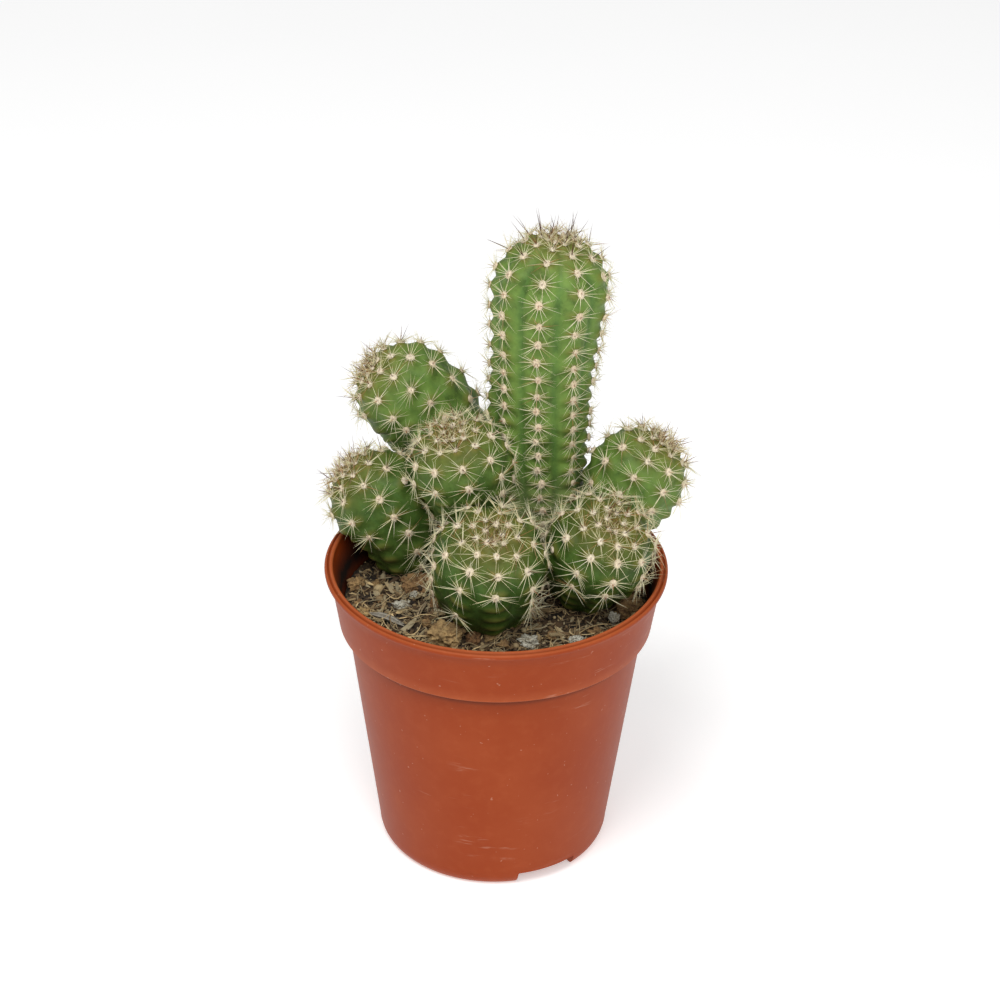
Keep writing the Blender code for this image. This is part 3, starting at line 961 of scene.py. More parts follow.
class CACTUS_OT_make_pot(bpy.types.Operator):
    """Turns the nursery pot, with its beaded lip, collar, step, foot notches and drain holes"""

    bl_idname = "cactus.make_pot"
    bl_label = "Pot"

    def outline(self, pot):
        """From the hub out to the foot, up the outside, over the lip and down the inside."""
        step = pot.height - pot.collar_height
        foot_inner = pot.foot_radius - pot.foot_ring
        body = pot.body_top - pot.body_bottom
        rise = step - 0.6 * MM - pot.foot_rounding
        top = pot.height
        rim = pot.rim_radius
        inner = rim - pot.rim_band
        points = [
            (CENTRE_HOLE, 0.0),
            (pot.hub_radius - 0.2 * MM, 0.0),
            (pot.hub_radius, 0.08 * MM),
            (pot.hub_radius + 0.3 * MM, pot.channel_rise - 0.15 * MM),
            (pot.hub_radius + 0.5 * MM, pot.channel_rise),
            (foot_inner - 0.5 * MM, pot.channel_rise),
            (foot_inner - 0.3 * MM, pot.channel_rise - 0.15 * MM),
            (foot_inner - 0.02 * MM, 0.12 * MM),
            (foot_inner + 0.15 * MM, 0.0),
            (pot.foot_radius, 0.0),
        ]
        for degrees in range(15, 91, 15):
            angle = math.radians(degrees)
            reach = (pot.body_bottom - pot.foot_radius) * math.sin(angle)
            points.append((pot.foot_radius + reach, pot.foot_rounding * (1.0 - math.cos(angle))))
        for share in (0.15, 0.3, 0.45, 0.6, 0.75, 0.9, 0.97, 1.0):
            points.append((pot.body_bottom + body * share, pot.foot_rounding + rise * share))
        points += [
            (pot.body_top + 0.08 * MM, step - 0.36 * MM),
            (pot.body_top + 0.30 * MM, step - 0.14 * MM),
            (pot.collar_bottom - 0.45 * MM, step - 0.05 * MM),
            (pot.collar_bottom - 0.18 * MM, step + 0.02 * MM),
            (pot.collar_bottom - 0.03 * MM, step + 0.18 * MM),
            (pot.collar_bottom + 0.02 * MM, step + 0.45 * MM),
        ]
        low, high = step + 0.45 * MM, top - pot.lip_height - 0.35 * MM
        for share in (0.2, 0.4, 0.6, 0.8, 1.0):
            radius = pot.collar_bottom + (pot.collar_top - pot.collar_bottom) * share
            points.append((radius, low + (high - low) * share))
        points += [
            (pot.collar_top + 0.12 * MM, top - pot.lip_height - 0.12 * MM),
            (rim - 0.42 * MM, top - pot.lip_height + 0.02 * MM),
            (rim - 0.16 * MM, top - pot.lip_height + 0.14 * MM),
            (rim - 0.03 * MM, top - 0.82 * MM),
            (rim, top - 0.60 * MM),
        ]
        points += arc((rim - 0.34 * MM, top - 0.52 * MM), 0.34 * MM, 0, 100, 7)
        points += [(rim - 0.50 * MM, top - 0.44 * MM), (rim - 0.60 * MM, top - 0.46 * MM)]
        bead = 0.5 * (rim - 0.62 * MM - inner)
        points += arc((inner + bead, top - bead), bead, 60, 180, 9)
        points += [
            (inner - 0.05 * MM, top - 0.8 * MM),
            (inner - 0.25 * MM, top - pot.lip_height),
            (pot.collar_bottom - pot.wall + 0.5 * MM, 0.5 * (step + top)),
            (pot.collar_bottom - pot.wall, step + 0.6 * MM),
            (pot.body_top - pot.wall, step - 0.6 * MM),
        ]
        channel = pot.channel_rise + pot.floor
        lower = pot.body_bottom + body * (channel + 1.0 * MM - pot.foot_rounding) / rise - pot.wall
        points += [
            (lower, channel + 1.0 * MM),
            (lower - 0.75 * MM, channel),
            (pot.hub_radius - 0.4 * MM, channel),
            (pot.hub_radius - pot.floor, pot.floor),
            (CENTRE_HOLE, pot.floor),
        ]
        return points

    def cut_notches(self, obj, pot):
        for turn in (pot.notch_angle, pot.notch_angle + math.pi):
            clear_selection()
            place = (pot.foot_radius * math.cos(turn), pot.foot_radius * math.sin(turn), 0.0)
            bpy.ops.mesh.primitive_cube_add(size=1.0, location=place, rotation=(0.0, 0.0, turn))
            cutter = bpy.context.object
            cutter.scale = (7.0 * MM, pot.notch_width, 2.0 * pot.notch_height)
            place_in_mesh(cutter)
            edit_all(cutter)
            bpy.ops.mesh.bevel(offset=0.25 * MM, segments=3, affect="EDGES")
            in_object_mode()
            subtract(obj, cutter)

    def cut_drain_holes(self, obj, pot):
        ring = (pot.hub_radius + pot.foot_radius - pot.foot_ring) / 2.0
        for index in range(pot.drain_holes):
            turn = math.tau * (index + 0.5) / pot.drain_holes
            clear_selection()
            middle = pot.channel_rise + pot.floor / 2.0
            place = (ring * math.cos(turn), ring * math.sin(turn), middle)
            bpy.ops.mesh.primitive_cylinder_add(
                vertices=40, radius=pot.drain_hole, depth=4.0 * pot.floor, location=place
            )
            cutter = bpy.context.object
            place_in_mesh(cutter)
            subtract(obj, cutter)

    def mark_wear_and_painted_light(self, obj, pot):
        """Says where the plastic is rubbed or given a painted highlight, where painted shade
        darkens the creases under the step and the lip, and where soil sticks inside, darkened
        further as painted shade.
        """
        points = points_of(obj.data)
        radius = np.hypot(points[:, 0], points[:, 1])
        height = points[:, 2]
        step = pot.height - pot.collar_height
        # Rubbed edges, with a painted highlight on the lip and the collar edge.
        lip = np.clip((height - (pot.height - 0.5 * MM)) / (0.4 * MM), 0.0, 1.0)
        collar_edge = near(height, step + 0.2 * MM, 0.35 * MM) * (radius > pot.body_top)
        foot_edge = near(height, 0.0, 0.7 * MM) * (radius > pot.foot_radius - 0.4 * MM)
        worn_and_highlit = 0.75 * lip + 0.5 * collar_edge + 0.6 * foot_edge
        set_values(obj.data, "worn_edge", np.clip(worn_and_highlit, 0.0, 1.0))
        # Painted shade under the step, in the lip's groove and under the lip.
        levels = np.array((-1.8, -0.60, -0.10, 0.06)) * MM
        under_step = np.interp(height - step, levels, (0.0, 0.90, 1.0, 0.0))
        under_step *= (radius > pot.body_top - 0.2 * MM) & (radius < pot.collar_bottom - 0.3 * MM)
        lip_gap = near(radius, pot.rim_radius - 0.56 * MM, 0.16 * MM) * lip
        under_lip = near(height, pot.height - pot.lip_height - 0.05 * MM, 0.14 * MM)
        under_lip *= radius > pot.collar_top
        set_values(obj.data, "crease", np.clip(under_step + lip_gap + 0.8 * under_lip, 0.0, 1.0))
        # Soil grime on the inner wall, also standing as painted shade, darker from the rim down.
        radii = (pot.body_bottom, pot.body_top, pot.rim_radius)
        wall = np.interp(height, (0.0, step, pot.height), radii)
        inside = radius < wall - 0.45 * MM
        depth = np.clip((pot.height - 0.9 * MM - height) / (2.0 * MM), 0.0, 1.0)
        above_floor = height > pot.channel_rise + 0.5 * pot.floor
        set_values(obj.data, "grime", inside * above_floor * depth)

    def execute(self, context):
        pot = context.scene.cactus.pot
        obj = lathe("pot_shell", self.outline(pot), pot.round_steps)
        self.cut_notches(obj, pot)
        self.cut_drain_holes(obj, pot)
        self.mark_wear_and_painted_light(obj, pot)
        finish_piece(obj, plastic_finish(pot), "pot_plastic", "pot", angle=32)
        return {"FINISHED"}


def soil_height(radius, pot, soil):
    share = np.minimum(radius / pot.collar_bottom, 1.0)
    return soil.edge_height + soil.mound * (0.5 + 0.5 * np.cos(math.pi * share))


def soil_top(x, y, pot, soil):
    """The height of the lumpy soil at a place."""
    spots = np.stack([x, y, np.zeros_like(x)], axis=1)
    lumps = 0.75 * rough(spots, 3.0 * MM, 1) + 0.45 * rough(spots, 1.1 * MM, 2)
    heap = soil.heap * near(np.maximum(foot_gap(x, y), 0.0), 0.0, 1.7 * MM)
    return soil_height(np.hypot(x, y), pot, soil) + soil.roughness * lumps + heap


def foot_gap(x, y):
    """How far a place on the soil is from the nearest stem."""
    gap = np.full(len(x), 1.0)
    for row in STEMS:
        foot = np.array(row.base[:2]) * MM
        lean = (np.array(row.bend[:2]) * MM - foot) * 0.1
        radius = (0.75 * row.radii[0] + 0.25 * row.radii[1]) * MM
        gap = np.minimum(gap, np.hypot(x - foot[0] - lean[0], y - foot[1] - lean[1]) - radius)
    return gap


class CACTUS_OT_make_soil(bpy.types.Operator):
    """Fills the pot with a plug of lumpy potting mix"""

    bl_idname = "cactus.make_soil"
    bl_label = "Soil"

    def outline(self, pot, soil):
        step = pot.height - pot.collar_height
        gap = 0.05 * MM
        edge = pot.collar_bottom - pot.wall - gap
        channel = pot.channel_rise + pot.floor
        low = channel + 1.2 * MM
        narrow = pot.body_bottom - pot.wall - gap
        points = [
            (CENTRE_HOLE, pot.floor + 0.3 * MM),
            (pot.hub_radius - pot.floor - 0.3 * MM, pot.floor + 0.3 * MM),
            (pot.hub_radius - 0.8 * MM, channel + 0.3 * MM),
            (narrow - 0.3 * MM, channel + 0.3 * MM),
            (narrow, low),
            (pot.body_top - pot.wall - 0.3 * MM, step - 0.6 * MM),
            (edge - 0.1 * MM, step + 0.8 * MM),
            (edge, soil.edge_height - 0.5 * MM),
        ]
        for share in np.linspace(1.0, 0.02, 74):
            points.append((edge * share, float(soil_height(edge * share, pot, soil))))
        return points

    def execute(self, context):
        pot, soil = context.scene.cactus.pot, context.scene.cactus.soil
        obj = lathe("soil_plug", self.outline(pot, soil), 240)
        points = points_of(obj.data)
        radius = np.hypot(points[:, 0], points[:, 1])
        top = points[:, 2] > soil.edge_height - 0.3 * MM
        points[top, 2] = soil_top(points[top, 0], points[top, 1], pot, soil)
        edge = radius > radius.max() - 0.5 * MM
        points[top & edge, 2] -= 0.3 * MM
        set_points(obj.data, points)
        finish_piece(obj, soil_finish(soil), "potting_soil", "soil")
        return {"FINISHED"}


class CACTUS_OT_make_litter(bpy.types.Operator):
    """Strews crumbs, flat slivers and thin fibres over the soil"""

    bl_idname = "cactus.make_litter"
    bl_label = "Crumbs, slivers and fibres"

    def spots(self, rng, count, reach, margin, pot):
        """Random places on the soil, outside the stems and far enough from the wall."""
        found = np.empty((0, 2))
        limit = pot.collar_bottom - pot.wall - reach
        while len(found) < count:
            trial = rng.uniform(-limit, limit, (count * 3, 2))
            inside = np.hypot(trial[:, 0], trial[:, 1]) < limit
            trial = trial[inside & (foot_gap(trial[:, 0], trial[:, 1]) > margin)]
            found = np.concatenate([found, trial])
        return found[:count]

    def crumb(self):
        clear_selection()
        bpy.ops.mesh.primitive_ico_sphere_add(subdivisions=1, radius=0.5)
        obj = bpy.context.object
        obj.data.transform(Matrix.Diagonal((1.0, 0.85, 0.75, 1.0)))
        return template(obj)

    def sliver(self):
        """A flat tapered chip, one unit long; lay gives each copy its bend."""
        clear_selection()
        bpy.ops.mesh.primitive_cube_add(size=1.0)
        obj = bpy.context.object
        quarter = Matrix.Diagonal((0.25, 1.0, 1.0, 1.0))
        obj.data.transform(Matrix.Translation((-0.375, 0.0, 0.0)) @ quarter)
        edit_all(obj)
        bpy.ops.mesh.select_mode(type="FACE")
        bpy.ops.mesh.select_all(action="DESELECT")
        in_object_mode()
        for face in obj.data.polygons:
            face.select = face.normal.x > 0.9
        bpy.ops.object.mode_set(mode="EDIT")
        for width in (1.0, 0.85, 0.35):
            bpy.ops.mesh.extrude_region_move(TRANSFORM_OT_translate={"value": (0.25, 0.0, 0.0)})
            bpy.ops.transform.resize(value=(1.0, width, width))
        in_object_mode()
        return template(obj)

    def fibre(self):
        """A thin four-sided straw, one unit long and one across, drawn out in five steps."""
        clear_selection()
        bpy.ops.mesh.primitive_circle_add(vertices=4, radius=0.5, fill_type="NGON")
        obj = bpy.context.object
        edit_all(obj)
        for _ in range(5):
            bpy.ops.mesh.extrude_region_move(TRANSFORM_OT_translate={"value": (0.0, 0.0, 0.2)})
        bpy.ops.transform.resize(value=(0.4, 0.4, 1.0))
        bpy.ops.mesh.select_all(action="SELECT")
        bpy.ops.mesh.normals_make_consistent(inside=False)
        in_object_mode()
        points, faces = template(obj)
        return points[:, [2, 0, 1]] - np.array([0.5, 0.0, 0.0]), faces

    def lay(self, name, shape, rng, spots, sizes, tilt, lift, bend, tints, cactus):
        """Lays a copy of the shape on each spot: turned, tilted a little and bent."""
        pot = cactus.pot
        points, faces = shape
        count = len(spots)
        local = np.repeat(points[None, :, :], count, axis=0)
        along = local[:, :, 0].copy()
        local = local * sizes[:, None, :]
        local[:, :, 2] += bend[:, None, 0] * (along**2) * sizes[:, None, 0]
        local[:, :, 1] += bend[:, None, 1] * (along**2) * sizes[:, None, 0]
        turn = rng.uniform(0.0, math.tau, count)
        lean = rng.normal(0.0, tilt, count)
        spin = rng.normal(0.0, 0.5, count)
        x, y, z = local[:, :, 0], local[:, :, 1], local[:, :, 2]
        y, z = turned(y, z, spin)
        x, z = turned(x, z, lean)
        x, y = turned(x, y, turn)
        ground = soil_top(spots[:, 0], spots[:, 1], pot, cactus.soil)
        rest = ground + lift + 0.3 * sizes[:, 0] * np.abs(np.sin(lean))
        placed = np.stack([x + spots[:, 0:1], y + spots[:, 1:2], z + rest[:, None]], axis=2)
        wall = pot.collar_bottom - pot.wall - 0.1 * MM
        far = np.hypot(placed[:, :, 0], placed[:, :, 1])
        squeeze = np.minimum(1.0, wall / np.maximum(far, 1e-9))
        placed[:, :, 0] *= squeeze
        placed[:, :, 1] *= squeeze
        obj = copies(name, placed, faces)
        set_values(obj.data, "tint", np.repeat(tints, points.shape[0]))
        set_values(obj.data, "along", (along + 0.5).ravel())
        return obj

    def execute(self, context):
        cactus = context.scene.cactus
        pot, soil = cactus.pot, cactus.soil
        rng = np.random.default_rng(5)
        finish = litter_finish(soil)

        count = soil.crumbs
        size = rng.lognormal(-0.85, 0.46, (count, 1)) * MM * rng.uniform(0.7, 1.3, (count, 3))
        spots = self.spots(rng, count, 0.4 * MM, 0.1 * MM, pot)
        tints = np.clip(rng.beta(1.3, 2.7, count) * 1.05, 0.02, 1.0)
        flat = np.zeros((count, 2))
        lift = 0.12 * size[:, 2]
        shape = self.crumb()
        crumbs = self.lay("soil_crumbs", shape, rng, spots, size, 1.0, lift, flat, tints, cactus)
        finish_piece(crumbs, finish, "potting_soil", angle=50)

        count = soil.slivers
        length = np.clip(rng.lognormal(0.58, 0.45, count), 0.7, 5.5) * MM
        width = np.clip(length * rng.uniform(0.13, 0.34, count), 0.18 * MM, 0.85 * MM)
        size = np.stack([length, width, rng.uniform(0.10, 0.24, count) * MM], axis=1)
        spots = self.spots(rng, count, 1.2 * MM, 0.4 * MM, pot)
        tints = rng.choice([0.12, 0.26, 0.36, 0.46, 0.62, 0.72, 0.86], count)
        tints = np.clip(tints + rng.normal(0.0, 0.05, count), 0.0, 1.0)
        bend = rng.normal(0.0, 0.22, (count, 2))
        lift = rng.uniform(0.0, 0.55, count) * MM
        shape = self.sliver()
        slivers = self.lay("soil_slivers", shape, rng, spots, size, 0.20, lift, bend, tints, cactus)
        finish_piece(slivers, finish, "dry_wood", angle=40)

        count = soil.fibres
        length = np.clip(rng.lognormal(0.80, 0.50, count), 0.8, 7.0) * MM
        width = rng.uniform(0.07, 0.22, count) * MM
        size = np.stack([length, width, width * rng.uniform(0.6, 1.0, count)], axis=1)
        spots = self.spots(rng, count, 1.6 * MM, 0.4 * MM, pot)
        tints = np.clip(rng.normal(0.58, 0.24, count), 0.08, 1.0)
        bend = rng.normal(0.0, 0.55, (count, 2))
        lift = rng.uniform(0.1, 0.9, count) * MM
        shape = self.fibre()
        fibres = self.lay("soil_fibres", shape, rng, spots, size, 0.24, lift, bend, tints, cactus)
        finish_piece(fibres, finish, "dry_wood", angle=60)
        return {"FINISHED"}


def turned(first, second, angles):
    """Two coordinates of each copy, turned by that copy's angle."""
    cosine, sine = np.cos(angles)[:, None], np.sin(angles)[:, None]
    return first * cosine - second * sine, first * sine + second * cosine


def lying(node, degrees):
    """Moves a shape to the middle of a node that lies on the soil, turned about the upright."""
    low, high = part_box(node)
    turn = Matrix.Rotation(math.radians(degrees), 4, "Z")
    return Matrix.Translation((low + high) / 2.0) @ turn


class CACTUS_OT_make_bark(bpy.types.Operator):
    """Breaks three rough chips of bark that lie on the soil"""

    bl_idname = "cactus.make_bark"
    bl_label = "Bark chips"

    def execute(self, context):
        finish = bark_finish()
        for seed, (node, size, turn, tint) in enumerate(BARK_CHIPS):
            clear_selection()
            bpy.ops.mesh.primitive_cube_add(size=1.0)
            obj = bpy.context.object
            obj.name = obj.data.name = node + "_rough"
            edit_all(obj)
            bpy.ops.mesh.subdivide(number_cuts=17)
            bpy.ops.transform.tosphere(value=0.35)
            in_object_mode()
            points = points_of(obj.data) * np.array(size) * MM
            outward = unit(points / (np.array(size) * MM))
            layers = np.sin(points[:, 2] / (0.16 * MM) + 2.0 * rough(points, 1.6 * MM, seed + 3))
            wide, narrow = rough(points, 1.3 * MM, seed + 20), rough(points, 0.5 * MM, seed + 30)
            lift = (0.55 * wide + 0.34 * narrow + 0.08 * layers) * MM
            points = points + outward * lift[:, None] * np.array([1.3, 1.3, 0.9])
            tip_over = Matrix.Rotation(0.16, 4, "X") @ Matrix.Rotation(-0.12, 4, "Y")
            set_points(obj.data, points)
            obj.data.transform(lying(node, turn) @ tip_over)
            set_values(obj.data, "tint", np.full(len(points), tint))
            finish_piece(obj, finish, "bark", node, angle=55)
        return {"FINISHED"}


class CACTUS_OT_make_lumps(bpy.types.Operator):
    """Crumbles small lumps of bark between the fibres"""

    bl_idname = "cactus.make_lumps"
    bl_label = "Bark lumps"

    def execute(self, context):
        cactus = context.scene.cactus
        clear_selection()
        bpy.ops.mesh.primitive_ico_sphere_add(subdivisions=4, radius=0.5)
        points, faces = template(bpy.context.object)
        rng = np.random.default_rng(21)
        placed, tints = [], []
        for seed, (x, y, size, tint) in enumerate(BARK_LUMPS):
            lift = 0.80 * rough(points, 0.42, seed + 60) + 0.36 * rough(points, 0.15, seed + 90)
            shape = points * np.array([1.0, 0.82, 0.66]) * size * MM * (1.0 + lift)[:, None]
            turn = Matrix.Rotation(rng.uniform(0.0, math.tau), 3, "Z")
            turn = turn @ Matrix.Rotation(rng.normal(0.0, 0.3), 3, "X")
            spot = np.array([x, y]) * MM
            ground = soil_top(spot[:1], spot[1:], cactus.pot, cactus.soil)[0]
            centre = np.array([*spot, ground + 0.22 * size * MM])
            placed.append(shape @ np.array(turn).T + centre)
            tints.append(tint)
        obj = copies("bark_lumps", np.array(placed), faces)
        set_values(obj.data, "tint", np.repeat(tints, len(points)))
        finish_piece(obj, bark_finish(), "bark")
        return {"FINISHED"}


class CACTUS_OT_make_perlite(bpy.types.Operator):
    """Makes the pale expanded grains of perlite"""

    bl_idname = "cactus.make_perlite"
    bl_label = "Perlite grains"

    def execute(self, context):
        finish = perlite_finish()
        for seed, node in enumerate(PERLITE_GRAINS):
            low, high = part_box(node)
            clear_selection()
            bpy.ops.mesh.primitive_ico_sphere_add(subdivisions=5, radius=0.5)
            obj = bpy.context.object
            obj.name = obj.data.name = node + "_grain"
            points = points_of(obj.data)
            size = np.array(high - low)
            pits = rough(points, 0.34, seed + 40)
            dents = rough(points, 0.12, seed + 50)
            points = points * size * (1.0 + 0.62 * pits + 0.26 * dents)[:, None]
            set_points(obj.data, points + np.array((low + high) / 2.0))
            finish_piece(obj, finish, "perlite", node)
        return {"FINISHED"}


class CACTUS_OT_make_wood(bpy.types.Operator):
    """Splits the weathered splinter and the straw that lie on the soil"""

    bl_idname = "cactus.make_wood"
    bl_label = "Splinter and straw"
    STEPS = 24

    def execute(self, context):
        finish = wood_finish()
        for seed, (node, size, turn, tint) in enumerate(SPLINTERS):
            length, width, height = (value * MM for value in size)
            clear_selection()
            bpy.ops.mesh.primitive_circle_add(
                vertices=24, radius=0.5, fill_type="NGON", location=(0.0, 0.0, -0.5)
            )
            obj = bpy.context.object
            obj.name = obj.data.name = node + "_split"
            place_in_mesh(obj)
            edit_all(obj)
            for _ in range(self.STEPS):
                lift = {"value": (0.0, 0.0, 1.0 / self.STEPS)}
                bpy.ops.mesh.extrude_region_move(TRANSFORM_OT_translate=lift)
            bpy.ops.mesh.select_all(action="SELECT")
            bpy.ops.mesh.normals_make_consistent(inside=False)
            in_object_mode()
            points = points_of(obj.data)
            angle = np.arctan2(points[:, 1], points[:, 0])
            strands = np.sin(angle * 5 + seed) * 0.5 + np.sin(angle * 9 + 1.7 * seed) * 0.35
            along = points[:, 2] + 0.5
            taper = np.minimum(1.0, 0.35 + 2.4 * np.minimum(along, 1.0 - along))
            taper = taper * (1.0 + 0.10 * strands)
            ragged = 0.06 * np.sin(angle * 3 + 2 * seed) * (np.abs(points[:, 2]) > 0.45)
            x = (points[:, 2] + ragged) * length
            y = points[:, 0] * taper * width + 0.05 * length * np.sin(along * 3.0 + seed)
            z = points[:, 1] * taper * height + 0.03 * length * np.sin(along * 4.0)
            set_points(obj.data, np.stack([x, y, z], axis=1))
            set_values(obj.data, "strand", 0.5 + 0.5 * strands)
            set_values(obj.data, "tint", np.full(len(points), tint))
            obj.data.transform(lying(node, turn))
            edit_all(obj)
            bpy.ops.mesh.normals_make_consistent(inside=False)
            in_object_mode()
            finish_piece(obj, finish, "dry_wood", node, angle=45)
        return {"FINISHED"}


class CACTUS_OT_make_stems(bpy.types.Operator):
    """Shapes the seven fleshy stems, with their ribs, grooves and bumps"""

    bl_idname = "cactus.make_stems"
    bl_label = "Stems"
    RING_GAP = 0.62 * MM
    WOBBLE = 0.16 * MM
    WOBBLE_SIZE = 5.0 * MM
    YOUNG = 9.5 * MM
    BURIED = 4.0 * MM
    # The main stem's cork reaches far up, partly as painted light on its shaded foot.
    CORK_AND_PAINTED_LIGHT_MAIN = 23.0 * MM
    CORKY_OTHER = 2.5 * MM

    def execute(self, context):
        settings = context.scene.cactus.stems
        finish = skin_finish(settings)
        for row in STEMS:
            form = StemForm(row, settings)
            rings = 2 * round(form.length / self.RING_GAP)
            clear_selection()
            bpy.ops.mesh.primitive_uv_sphere_add(
                segments=row.ribs * settings.segments_per_rib, ring_count=rings, radius=1.0
            )
            obj = bpy.context.object
            obj.name = obj.data.name = row.name + "_flesh"
            points = points_of(obj.data)
            place = np.arcsin(np.clip(points[:, 2], -1.0, 1.0)) / math.pi + 0.5
            longitude = np.arctan2(points[:, 1], points[:, 0])
            way = (1.0 - place) * form.length
            skin = form.skin(longitude, way)
            share = form.station(np.interp(way, form.ways, form.places))[0]
            wobble = rough(skin, self.WOBBLE_SIZE, row.seed) * self.WOBBLE
            set_points(obj.data, skin + unit(skin - form.axis(share)) * wobble[:, None])
            crest, bump = form.ribs_at(longitude, way)
            main = row.name == "main_stem"
            corky = self.CORK_AND_PAINTED_LIGHT_MAIN if main else self.CORKY_OTHER
            old = (way - form.length + self.BURIED + corky) / corky
            set_values(obj.data, "groove", (1.0 - crest) * (1.0 if main else 0.75))
            set_values(obj.data, "bump", bump)
            set_values(obj.data, "young", np.clip(1.0 - way / self.YOUNG, 0.0, 1.0) ** 1.2)
            set_values(obj.data, "old", np.clip(old, 0.0, 1.0))
            set_values(obj.data, "pale", np.full(len(points), row.pale))
            finish_piece(obj, finish, "cactus_skin", row.name)
        return {"FINISHED"}


class CACTUS_OT_make_cushions(bpy.types.Operator):
    """Sets a felt cushion on every bump of the ribs that stands clear of the soil, the pot's wall
    and the other stems and doesn't face far down
    """

    bl_idname = "cactus.make_cushions"
    bl_label = "Felt cushions"

    def execute(self, context):
        cactus = context.scene.cactus
        settings = cactus.spines
        clear_selection()
        bpy.ops.mesh.primitive_uv_sphere_add(segments=9, ring_count=6, radius=1.0)
        points, faces = template(bpy.context.object)
        finish = felt_finish(settings)
        forms = [StemForm(row, cactus.stems) for row in STEMS]
        for form in forms:
            row = form.row
            rng = np.random.default_rng(row.seed + 100)
            here, outward, tipward, side, way, _ = open_cushions(form, forms, cactus)
            grown = np.clip(way / (7.0 * MM), 0.0, 1.0)[:, None, None]
            size = settings.cushion * (0.72 + 0.28 * grown)
            size = size * rng.uniform(0.85, 1.15, (len(here), 1, 1))
            local = points[None, :, :] * (1.0 + rng.normal(0.0, 0.07, (len(here), len(points), 1)))
            placed = here[:, None, :] + size * (
                side[:, None, :] * local[:, :, 0:1] * 0.95
                + tipward[:, None, :] * local[:, :, 1:2] * 1.12
                + outward[:, None, :] * (local[:, :, 2:3] * 0.42 + 0.04)
            )
            obj = copies(row.name + "_felt", placed, faces)
            old = np.clip(way / (14.0 * MM), 0.0, 1.0) * 0.65 + rng.uniform(0.0, 0.35, len(here))
            set_values(obj.data, "tint", np.repeat(old, len(points)))
            centre = np.clip(points[:, 2], 0.0, 1.0)
            set_values(obj.data, "centre", np.tile(centre, len(here)))
            finish_piece(obj, finish, "cactus_skin")
        return {"FINISHED"}


